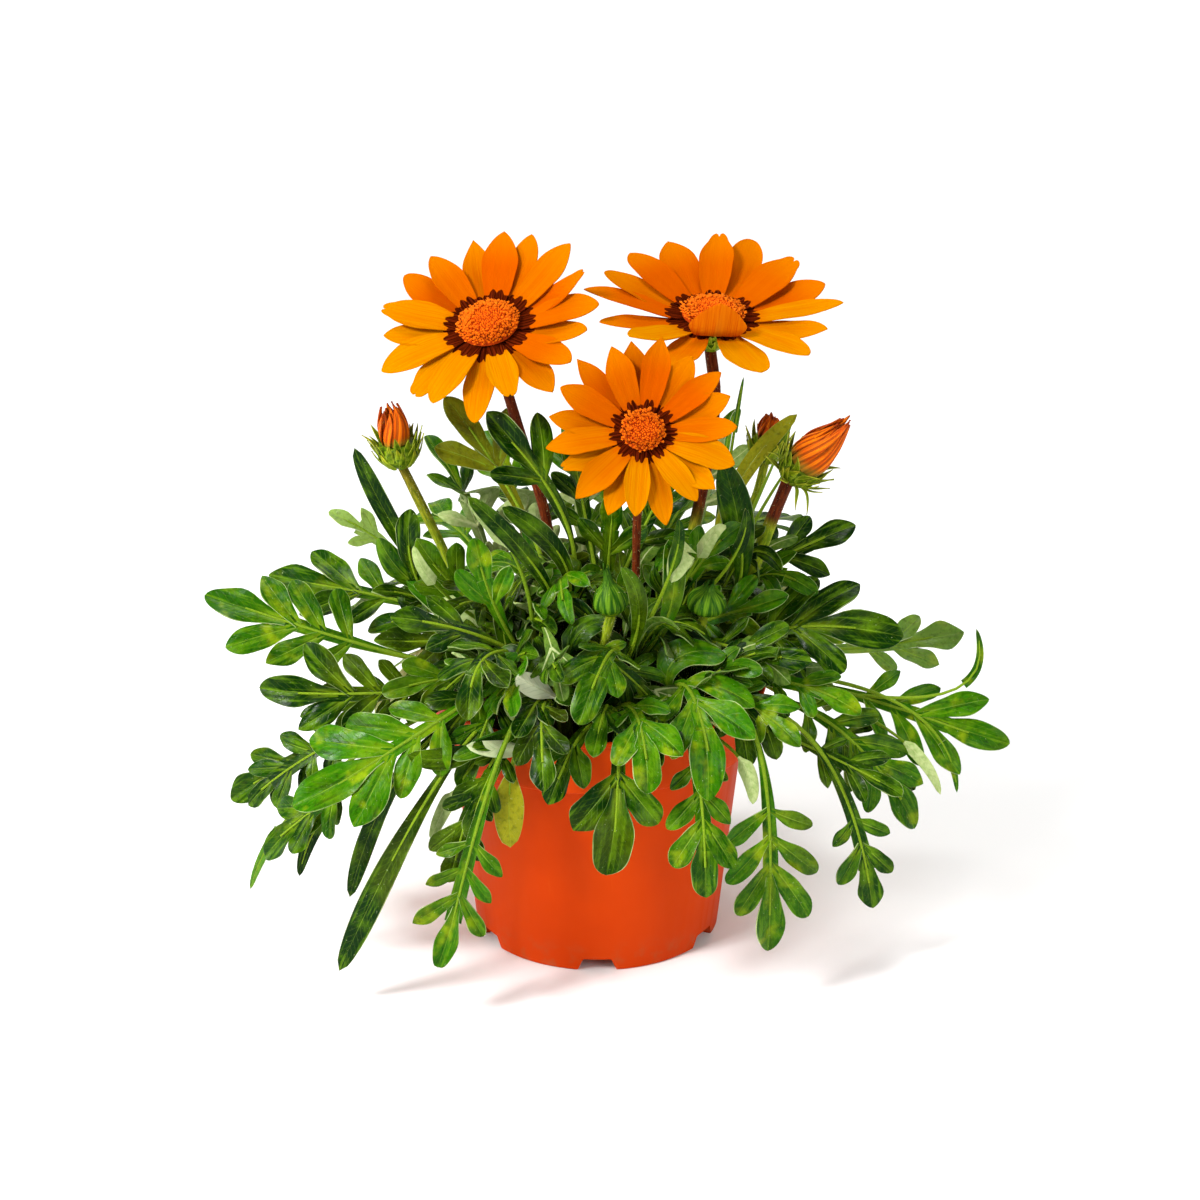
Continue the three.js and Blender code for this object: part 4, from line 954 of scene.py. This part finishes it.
def hairs(skin, rng, centre, side, up, half, count, length):
    """Fine hairs that stand off a stem."""
    rows = rng.integers(1, len(centre) - 1, count)
    turn = rng.uniform(0, 2 * np.pi, count)[:, None]
    out = side[rows] * np.cos(turn) + up[rows] * np.sin(turn)
    jitter = (centre[rows + 1] - centre[rows]) * rng.random((count, 1))
    foot = centre[rows] + jitter + out * half[rows][:, None] * 0.95
    lean = unit(out + rng.normal(0, 0.35, (count, 3)))
    tip = foot + lean * (length * rng.uniform(0.5, 1.1, (count, 1)))
    wide = unit(np.cross(lean, rng.normal(0, 1, (count, 3)))) * 0.045
    points = np.stack([foot - wide, foot + wide, tip + wide * 0.3, tip - wide * 0.3], 1)
    skin.add(points, np.arange(count * 4).reshape(count, 4), slot=HAIR)


def young_leaves(skin, rng, foot, top, number):
    """Small leaves on stalks of their own that fill the crown round a shoot."""
    foot, top = np.array((*foot, 0.0), float), np.array(top, float)
    for i in range(YOUNG["count"]):
        out = around(2.4 * i + rng.uniform(0, 0.9), 1.0, 0.0)
        spread = rng.uniform(*YOUNG["spread"])
        base = foot + out * rng.uniform(3, 7) + (0, 0, SOIL_LEVEL - 3)
        mid = top + out * (0.3 * spread) + (0, 0, rng.uniform(*YOUNG["knee"]))
        tip = top + out * spread + (0, 0, rng.uniform(*YOUNG["rise"]))
        if math.hypot(tip[0], tip[1]) > POT["rim"] - 8:
            tip[2] = max(tip[2], POT["height"] + 6)
        face = unit(np.array((0, -0.5, 0.86)) + 0.5 * out + rng.normal(0, 0.2, 3))
        turned = rng.random() < YOUNG["turned"]
        pairs = int(rng.choice((0, 1, 1, 2, 2)))
        lobe = rng.uniform(*YOUNG["lobe"]) * (1 if pairs else 1.9)
        broad = rng.uniform(0.16, 0.23) if pairs else rng.uniform(0.11, 0.17)
        rib = Rib(base, mid, tip, -face if turned else face, rng.uniform(-1.2, 1.2))
        tone = rng.random() ** 1.3 * (0.75 if pairs else 1) * (0.5 if turned and pairs else 1)
        leaf_shape(skin, rib, rng, pairs, lobe, broad, number + 0.61 * i, tone, young=True)


def leaning(lean):
    """The way that a leaf's face looks when it leans back by so many degrees."""
    turn = math.radians(lean)
    return np.array((0, -math.sin(turn), math.cos(turn)))


def shoot_shape(name, foot, top, leaves, number):
    skin = Skin()
    rng = np.random.default_rng(SEEDS["shoots"] + 10 * number)
    path = stem_path(foot, [top])
    stem_shape(skin, path, SHOOT_RADIUS, rng.random(), 0.25, swell=0.25)
    tones = LEAF_TONES.get(name, ())
    for i, (mid, tip, face, *form) in enumerate(leaves):
        form = PLAIN_LEAVES.get((name, i), form)
        base = path.point((LEAF_START - LEAF_STEP * i) * path.length)
        rib = Rib(base, mid, tip, face, rng.uniform(-0.22, 0.22))
        tone = tones[i] if i < len(tones) else rng.random() ** 1.3
        leaf_shape(skin, rib, rng, *form, number + 0.37 * i, tone)
    base = path.point(EXTRA_START * path.length)
    for i, (mid, tip, lean, pairs, lobe, broad, tone, *turned) in enumerate(EXTRA_LEAVES.get(name, ())):
        rib = Rib(base, mid, tip, leaning(lean) * (-1 if turned else 1))
        form = (lobe, broad) if pairs else (0.5 * lobe, 2 * broad)
        leaf_shape(skin, rib, rng, pairs, *form, number + 0.53 * i, tone, young=True)
    young_leaves(skin, rng, foot, top, number)
    skin.piece(f"{name}_fine", LEAF_LOOKS, "leaf", name)


def all_shoots():
    for number, (name, (foot, top, leaves)) in enumerate(SHOOTS.items()):
        placed = [(mid, tip, leaning(lean), *form) for mid, tip, lean, *form in leaves]
        shoot_shape(name, foot, top, placed, number)
    for number, sector in enumerate(BACK_SECTORS):
        seed = 20 + number
        placed = []
        for i, (turn, mid_reach, mid_height, reach, height, pairs, lobe) in enumerate(BACK_LEAVES):
            heading = math.radians(sector + turn + 3 * wobble(seed, i))
            rise = 7 * wobble(seed, i + 4)
            mid = around(heading, mid_reach, mid_height + 0.4 * rise)
            tip = around(heading, reach * (1 + 0.06 * wobble(seed, i + 8)), height + rise)
            placed.append((mid, tip, around(heading, 0.5, 0.866), pairs, lobe, 0.19))
        foot, top = (around(math.radians(sector), reach, height) for reach, height in BACK_STALK)
        shoot_shape(f"shoot_back_{number + 1}", foot[:2], top, placed, seed)


# ---------------------------------------------------------------- blooms


class Head:
    """The place of a flower head: its middle at centre, facing along axis."""

    def __init__(self, centre, axis):
        facing = Vector(axis).normalized()
        self.turn = np.array(Vector((0, 0, 1)).rotation_difference(facing).to_matrix())
        self.centre = np.array(centre, float)
        uphill = self.turn.T @ np.array((0, 0, 1.0))
        self.uphill = math.atan2(uphill[1], uphill[0])

    def out(self, points):
        return points @ self.turn.T + self.centre


def ray(skin, head, rng, b, pointed, heading, end, half, tone, forked, rise, layer, bend):
    """One ray petal; layer lifts it over its neighbours or drops it, and bend curls it up."""
    s, t = sheet(30, 13)
    s = 1 - (1 - s) ** 1.35
    root, dark, widest = b["disc"] + 1, b["disc"] + b["ring"], 0.6
    start = root - 3.5
    long = end - start
    body = 0.42 + 0.58 * np.sin(np.pi / 2 * np.clip(s / widest, 0, 1)) ** 1.2
    past = np.clip(s - widest, 0, 1) / (1 - widest)
    close = np.clip(1 - past ** rng.uniform(1.8, 2.3), 0, 1) ** rng.uniform(*pointed)
    width = half * np.where(s < widest, body, close)
    width = width * (1 + 0.035 * np.sin(14 * s + 6.28 * rng.random()) * smooth(0.3, 0.6, s))
    notch = 0.0
    if forked:
        notch = 0.035 * np.exp(-((t / 0.3) ** 2)) * smooth(0.9, 1, s)
        width = width + half * 0.2 * smooth(0.86, 1.0, s)
    reach = start + (s - notch) * long
    bow = rng.uniform(-0.05, 0.05) * long * s**2
    offset = t * width + bow
    share = np.clip((reach - root) / (end - root), 0, 1)
    height = rise * share**1.4 + layer * (0.5 + 0.8 * np.sin(np.pi * share))
    trough = 0.13 * width * t**2 * rng.uniform(0.4, 1.6) * smooth(0.1, 0.45, s)
    pleat = 0.11 * (1 - np.cos(3 * np.pi * t)) * smooth(0.05, 0.35, s) * (1 - 0.6 * s)
    twist = rng.uniform(-0.2, 0.2) * offset * s
    recurve = rng.uniform(-0.09, 0.05) * long * smooth(0.55, 1.1, s)
    lift = height + trough + pleat + twist + recurve
    if bend:
        steps = np.diff(s, axis=0, prepend=0) * long
        slope = bend * smooth(0.12, 0.85, s)
        reach = start + np.cumsum(steps * np.cos(slope), 0) - lift * np.sin(slope)
        lift = np.cumsum(steps * np.sin(slope), 0) + lift * np.cos(slope)
    middle = head.out(around(math.radians(heading), reach, lift, offset))
    thick = 0.24 - 0.08 * np.abs(t)
    pitch = 2 * math.pi * (dark - 2) / b["petals"]
    edge = np.abs(offset - bow)[:, ::-1] / pitch
    spot = (start + s * long - dark, (bow - offset)[:, ::-1], s)
    skin.slab(middle[:, ::-1], thick, thick, spot, tone, edge)


def bloom_petals(name, b, head, rng):
    skin = Skin()
    for i in range(b["petals"]):
        turn = 360 * i / b["petals"]
        uphill = math.cos(math.radians(turn) - head.uphill)
        rise = b["rise"] + b["lean"] * uphill + 1.3 * wobble(b["petals"], i + 30)
        end = b["reach"] * (1 + 0.05 * wobble(b["petals"], i))
        heading = turn + rng.uniform(-2.5, 2.5)
        forked = rng.random() < FORKED_TIPS
        half = b["half"] * rng.uniform(0.98, 1.24)
        tone = min(max(rng.uniform(0.1, 0.9) - 0.35 * uphill, 0), 1)
        bend = 0.0
        if (name, i) == (CURLED["bloom"], CURLED["number"]):
            end, half, bend = b["disc"] + 1 + CURLED["length"], CURLED["broad"] * half, CURLED["bend"]
        layer = -0.8 if i % 2 else 0.8
        ray(skin, head, rng, b, POINTED[name], heading, end, half, tone, forked, rise, layer, bend)
    skin.piece(f"{name}_petals_fine", [PETAL_LOOK], "petal", f"{name}_petals")


def floret(skin, head, place, out, radius, height, tone, lean, is_open):
    """A tiny tube floret: a closed bud, or a column with a five-pointed mouth."""
    sides = 10 if is_open else 6
    turn = circle(sides) + 6 * tone
    star = 1 + 0.34 * np.cos(5 * (turn - 6 * tone))
    share, rings = [], []
    for wide, rise, pointed in OPEN_FLORET if is_open else CLOSED_FLORET:
        ring = around(turn, wide * radius * (star if pointed else 1), rise * height)
        rings.append(ring + (place + out * lean * rise * height))
        share.append([min(max(rise, 0), 1)])
    share = np.array(share)
    skin.grid(head.out(np.stack(rings)), (share * height, 0.0, share), (0.0, 0.0, tone), closed=True)


def bloom_disc(name, head, radius, rng):
    """A dome set with florets in a spiral, and anthers among the outer ones."""
    skin = Skin()
    floor, dome = HUB_HALF + GAP, DISC["dome"] * radius
    share = np.linspace(0.001, 1, 12)[:, None]
    turn = circle(40)
    cap = around(turn, radius * share, floor + 0.5 + dome * (1 - share**3))
    skirt = around(turn, np.full((1, 1), radius), floor)
    skin.grid(head.out(np.concatenate([cap, skirt])), (0.0, 0.0, 0.12), (0.0, 0.0, 0.3), closed=True)
    count = int(DISC["florets"] * radius**2)
    for i in range(count):
        share = math.sqrt((i + 0.5) / count)
        out = around(i * GOLDEN, 1.0, 0.0)
        place = out * share * radius * 0.97 + (0, 0, floor + 0.45 + dome * (1 - share**3))
        place[:2] += rng.normal(0, 0.13, 2)
        is_open = rng.random() < 0.9 * smooth(0.4, 0.85, share)
        tall = rng.uniform(0.9, 1.6) if is_open else rng.uniform(0.5, 1.0)
        wide = rng.uniform(0.3, 0.42)
        lean = rng.uniform(0.0, 0.5) * share + 0.6 * share**8
        floret(skin, head, place, out, wide, tall, rng.random(), lean, is_open)
    for i in range(int(DISC["anthers"] * radius)):
        out = around(i * GOLDEN + 0.7, 1.0, 0.0)
        share = rng.uniform(0.76, 0.98)
        place = out * share * radius + (0, 0, floor + 0.3 + dome * (1 - share**3))
        floret(skin, head, place, out, 0.27, rng.uniform(1.5, 2.6), 2.0, rng.uniform(0.0, 0.35), False)
    skin.piece(f"{name}_disc_fine", [DISC_LOOK], "floret_disc", f"{name}_disc")


def bract(skin, head, rng, heading, points, half, tone):
    """A pointed bract along [reach, height] points."""
    path = outline(points)
    s, t = sheet(14, 5)
    reach, height, _ = np.moveaxis(path.point(s * path.length), -1, 0)
    offset = t * (half * np.clip(np.sin(np.pi * (0.32 + 0.68 * s)) ** 0.9, 0, 1))
    turn = math.radians(heading) + rng.uniform(-0.04, 0.04) + rng.uniform(-0.3, 0.3) * s**2
    middle = head.out(around(turn, reach - 0.25 * offset**2 / half, height, offset))
    thick = 0.2 - 0.1 * np.abs(t)
    skin.slab(middle, thick, thick, (s * path.length, offset, s), tone, np.abs(t), BRACT)


def cup_shape(skin, head, profile):
    """The smooth cup that the bracts grow on."""
    path = outline(profile)
    ring = path.point(np.linspace(0, path.length, 16))
    ring = np.concatenate([ring, [[0.01, ring[-1, 1] - 0.2, 0]]])
    turn = circle(28)
    points = around(turn, ring[:, :1] * (1 + 0.03 * np.cos(9 * turn)), ring[:, 1:2])
    share = np.linspace(0, 0.6, len(ring))[:, None]
    skin.grid(head.out(points), (share, 0.5, share), (0.0, 0.0, 0.1), BRACT, closed=True)


def hairy_stem(skin, rng, head, b, below, tone, rows, length):
    """The stem, from the soil into a cup whose foot is so far below the head's middle."""
    path = stem_path(b["foot"], [*b["via"], head.out(np.array((0, 0, 1.0 - below)))])
    made = stem_shape(skin, path, b["stem"], tone, 1.0, 16, rows)
    hairs(skin, rng, *made, STEM_HAIRS, length)


def stem_piece(skin, name, record_slot):
    looks = [LEAF_LOOKS[0], flower_stem_material(name), BRACT_LOOK, HAIR_LOOK]
    skin.piece(f"{name}_stem_fine", looks, record_slot, f"{name}_stem")


def bloom_stem(name, b, head, rng, number):
    skin = Skin()
    h, top = b["cup"], -HUB_HALF - GAP
    cup_shape(skin, head, [(2.0, -h), (4.4, -0.82 * h), (5.9, -0.5 * h), (6.3, -0.2 * h), (6.1, top)])
    rows = (
        (10, 0.9, (7.2, -0.42 * h), 1.5),
        (12, 0.65, (8.0, -0.24 * h), 1.5),
        (13, 0.45, (8.6, top - 0.3), 1.4),
    )
    for row, (count, low, tip, half) in enumerate(rows):
        foot = (3.2 + 3.2 * (0.9 - low) / 0.45, -low * h)
        knee = (0.5 * (foot[0] + tip[0]) + 0.9, 0.5 * (foot[1] + tip[1]))
        for i in range(count):
            bract(skin, head, rng, 360 * (i + 0.5 * row) / count, [foot, knee, tip], half, rng.random())
    hairy_stem(skin, rng, head, b, h, 0.2 + 0.3 * number, 70, 0.8)
    stem_piece(skin, name, "flower_stem")


def all_blooms():
    for number, (name, b) in enumerate(BLOOMS.items()):
        rng = np.random.default_rng(SEEDS["blooms"] + number)
        head = Head(b["centre"], b["axis"])
        bloom_petals(name, b, head, rng)
        bloom_disc(name, head, FLORETS[name], rng)
        bloom_stem(name, b, head, rng, number)


# ---------------------------------------------------------------- buds


def open_bracts(skin, b, head, rng):
    """Rows of bracts that spread from the cup of an open bud."""
    (radius, height), (tip_reach, tip_height) = b["cup"], b["tip"]
    for row, (count, low, share) in enumerate(BRACT_ROWS):
        foot = (radius * (0.55 + 0.45 * min(1, low * 2)), low * height)
        knee = (radius * 1.06, height * (low + 0.42))
        reach, rise = between((radius, tip_reach), share), between((0.6 * height, tip_height), share)
        for i in range(count):
            vary = rng.uniform(0.85, 1.1)
            tip = (reach * vary + 1.5 * rng.random(), rise * vary)
            heading = 360 * (i + 0.5 * row) / count
            bract(skin, head, rng, heading, [foot, knee, tip], rng.uniform(1.1, 1.5), rng.random())


def closed_bracts(skin, b, head, rng):
    """Bracts that lie edge to edge in the teardrop of a closed bud."""
    (radius, height), (_, tip_height) = b["cup"], b["tip"]
    for i in range(CLOSED_BRACTS):
        layer = 1.12 - 0.05 * (i % 2)
        form = ((0.5, 0.08), (layer, 0.36), (0.8 * layer, 0.78), (0.3, 1.12))
        points = [(radius * out, height * up) for out, up in form]
        points.append((radius * rng.uniform(0.05, 0.3), tip_height * rng.uniform(0.84, 1.02)))
        bract(skin, head, rng, 360 * i / CLOSED_BRACTS, points, 0.4 * radius, -1.0 + 0.2 * rng.random())


def wild_bracts(skin, radius, head, rng):
    """Long bracts that stand out round a cup on every side."""
    for i in range(WILD["bracts"]):
        heading = WILD["turn"] * i + rng.uniform(-10, 10)
        tip = (radius + rng.uniform(4, 8), rng.uniform(-3, 9))
        bract(skin, head, rng, heading, [(0.6 * radius, 1.5), (radius + 1, 2.5), tip], 0.9, 0.95)


def bud_stem(name, b, head, rng, number):
    skin = Skin()
    radius, height = b["cup"]
    is_open = b["petals"] > 0
    form = OPEN_CUP if is_open else CLOSED_CUP
    cup_shape(skin, head, [(1.6, 0), *[(out * radius, up * height) for out, up in form]])
    (open_bracts if is_open else closed_bracts)(skin, b, head, rng)
    if name == WILD["bud"]:
        wild_bracts(skin, radius, head, rng)
    hairy_stem(skin, rng, head, b, 0, 0.2 * number, 60, 0.9)
    middle = head.out(np.outer(np.linspace(0.1, 0.95, 8) * height, (0, 0, 1)))
    side, up = (np.tile(head.turn[:, k], (8, 1)) for k in (0, 1))
    hairs(skin, rng, middle, side, up, np.full(8, radius), CUP_HAIRS[is_open], 1.0)
    stem_piece(skin, name, "bud_green")


def bud_petals(name, b, head, rng):
    """A bundle of rolled rays, an inner whorl inside an outer one."""
    skin = Skin()
    floor, count = b["cup"][1] + GAP, b["petals"]
    narrow, stand = BUNDLES[name]
    s, t = sheet(22, 7)
    for whorl, shrink in ((0, stand), (1, 0.78 * stand)):
        for i in range(count):
            spread = 1 + s**1.5 * (narrow - 1 + rng.uniform(-0.2, 0.25))
            reach = shrink * b["reach"] * (1 + 0.3 * np.sin(np.pi * s)) * spread
            height = floor + b["height"] * s * rng.uniform(0.8, 1.02)
            half = 1.3 * math.pi * stand * b["reach"] / count
            width = half * np.clip(1 - s**2.2, 0.02, 1) ** 0.9 * (0.75 + 0.35 * np.sin(np.pi * s))
            swirl = 0.75 * s + rng.uniform(-0.25, 0.25) * s
            heading = math.radians(360 * (i + 0.5 * whorl) / count) + swirl + rng.uniform(-0.06, 0.06)
            turn = heading + t * width / np.maximum(reach, 1.2) * 0.9
            middle = head.out(around(turn, reach + 0.35 * t + 0.15 * np.abs(t), height))
            skin.slab(middle, 0.22, 0.22, (s * b["height"], t * width, s), rng.random(), np.abs(t))
    skin.piece(f"{name}_petals_fine", [BUD_LOOK], "petal", f"{name}_petals")


def all_buds():
    for number, (name, b) in enumerate(BUDS.items()):
        rng = np.random.default_rng(SEEDS["buds"] + number)
        head = Head(b["centre"], b["axis"])
        bud_stem(name, b, head, rng, number)
        if b["petals"]:
            bud_petals(name, b, head, rng)


# ---------------------------------------------------------------- pot and soil


def body_radius(height):
    return POT["base"] + height / POT["collar_foot"] * (POT["shoulder"] - POT["base"])


def collar_radius(height):
    share = (height - POT["collar_foot"]) / (POT["height"] - POT["collar_foot"])
    return POT["collar"] + share * (POT["rim"] - 0.8 - POT["collar"])


def notch_height(turn):
    """How high the foot is cut away at a turn, in radians."""
    pitch = 2 * np.pi / NOTCH["count"]
    away = np.abs((turn + np.pi / 2 + pitch / 2) % pitch - pitch / 2) * POT["base"]
    side = np.clip((NOTCH["foot"] / 2 - away) / (NOTCH["foot"] / 2 - NOTCH["top"] / 2), 0, 1)
    return NOTCH["height"] * (side + 0.25 * (smooth(0, 1, side) - side))


def pot_shape():
    """The pot as one turned outline, up inside the collar, down the outside and in under the foot."""
    turn = circle(480)
    cut = notch_height(turn)
    base, pad, channel = POT["base"], POT["pad"], POT["channel"]

    def beside(radius, height, offsets):
        return [(POT[radius] + out, POT[height] + up) for out, up in offsets]

    rings = beside("collar", "collar_foot", COLLAR_INSIDE)
    rings += [(collar_radius(z) - POT["wall"], z) for z in (78, 84, 90, 93.4)]
    rings += beside("rim", "height", LIP)
    rings += [(collar_radius(z), z) for z in (89, 85, 81, 77, 74.8)]
    rings += beside("collar", "collar_foot", COLLAR_UNDERSIDE)
    rings += [(body_radius(z), z) for z in np.maximum(np.array(BODY_HEIGHTS)[:, None], cut)]
    rings += [(base - inset, cut) for inset in (0.5, 0.9, 2.5)]
    rings += [(base - inset, np.maximum(z, cut)) for inset, z in ((2.75, 0.3), (2.8, 2), (2.9, 4.8))]
    rings += [(base - 3.4, channel), (pad + 2, channel), (pad + 1.2, channel - 0.2)]
    rings += [(pad + 0.2, 0.3), (pad - 0.1, 0), (pad - 15, 0), (0.01, 0)]
    skin = Skin()
    skin.grid(np.stack([around(turn, r, z) for r, z in rings]), flip=True, closed=True)
    pot = skin.piece("pot_fine", [pot_material()], "pot_plastic", "pot")
    pot.data.set_sharp_from_angle(angle=math.radians(38))


def soil_top(x, y):
    """The height of the lumpy surface, lower towards the wall."""

    def lump(a, b):
        return noise.fractal(Vector((a / 9, b / 9, 0)), 0.7, 2.1, 5)

    lumps = [[lump(a, b) for a, b in zip(*row)] for row in zip(x, y)]
    return SOIL_LEVEL - 2.6 * (np.hypot(x, y) / 56) ** 2 + 1.1 * np.array(lumps)


def crumb(skin, rng, centre, size, tone):
    """A small rough clod."""
    tilt = np.array((0.02, 0.9, 1.57, 2.25, 3.12))[:, None]
    ball = around(circle(6), np.sin(tilt), np.cos(tilt))
    rough = 1 + rng.uniform(-0.3, 0.3, (5, 6, 1))
    points = centre + ball * rough * size * np.array((1, rng.uniform(0.6, 1), rng.uniform(0.5, 0.9)))
    skin.grid(points, NOTHING, (0.0, 0.0, tone), closed=True, flip=True)


def soil_shape():
    skin = Skin()
    rng = np.random.default_rng(SEEDS["soil"])
    turn = circle(120)
    cover = around(turn, SOIL_RADIUS * np.linspace(0.002, 1, 40)[:, None], 0.0)
    cover[..., 2] = soil_top(cover[..., 0], cover[..., 1])
    skin.grid(cover, NOTHING, (0.0, 0.0, 0.1), closed=True)
    reach = (SOIL_RADIUS - 2.2) * np.sqrt(rng.random(CRUMBS))
    places = around(rng.uniform(0, 2 * np.pi, CRUMBS), reach, 0.0)
    places[:, 2] = soil_top(*places.T[:2, None])[0] + 0.2
    for place in places:
        size = 0.5 + 1.3 * rng.random() ** 2
        crumb(skin, rng, place, size, rng.random() * (1 if size < 1.1 else 0.85))
    wall = np.stack([around(turn, r, z) for r, z in SOIL_WALL])
    skin.grid(wall, NOTHING, (0.0, 0.0, 0.1), closed=True)
    skin.piece("soil_fine", [soil_material()], "peat", "soil")


# ---------------------------------------------------------------- stage


def add(name, data):
    made = bpy.data.objects.new(name, data)
    bpy.context.scene.collection.objects.link(made)
    return made


def stage():
    """A pale floor that glows white far out, a white world, five soft lights and the photo's camera."""
    mesh = bpy.data.meshes.new("floor")
    corners = [(-FLOOR, -FLOOR, 0), (FLOOR, -FLOOR, 0), (FLOOR, FLOOR, 0), (-FLOOR, FLOOR, 0)]
    mesh.from_pydata(corners, [], [range(4)])
    floor = add("floor", mesh)
    net = Net("glowing_floor")
    x, y, _ = net.split(net.place())
    net.shader.inputs["Emission Color"].default_value = (1, 1, 1, 1)
    # painted light: the floor glows from about 0.7 m out, fully by 1.8 m, so that the far floor reads white
    net.put(net.shader.inputs["Emission Strength"], net.step(x**2 + y**2, 0.5, 3.2, 0.66))
    mesh.materials.append(net.finish(net.mix(net.noise(3, 1), (247, 247, 246), (250, 250, 250)), 0.8))

    world = bpy.data.worlds.new("studio")
    world.use_nodes = True
    background = world.node_tree.nodes["Background"]
    background.inputs["Color"].default_value = (1, 1, 1, 1)
    background.inputs["Strength"].default_value = WORLD_STRENGTH
    bpy.context.scene.world = world

    for name, (place, size, power) in LIGHTS.items():
        light = bpy.data.lights.new(name, "AREA")
        light.size, light.energy = size, power
        lamp = add(name, light)
        lamp.location = place
        lamp.rotation_euler = (Vector(LIT_POINT) - Vector(place)).to_track_quat("-Z", "Y").to_euler()

    lens = bpy.data.cameras.new("camera")
    lens.lens, lens.sensor_width = CAMERA["lens"], CAMERA["sensor"]
    camera = add("camera", lens)
    camera.location = CAMERA["place"]
    camera.rotation_euler = (math.radians(90 - CAMERA["pitch_down"]), 0, 0)
    bpy.context.scene.camera = camera
    bpy.context.scene.view_settings.view_transform = "Standard"


all_shoots()
all_blooms()
all_buds()
pot_shape()
soil_shape()
stage()
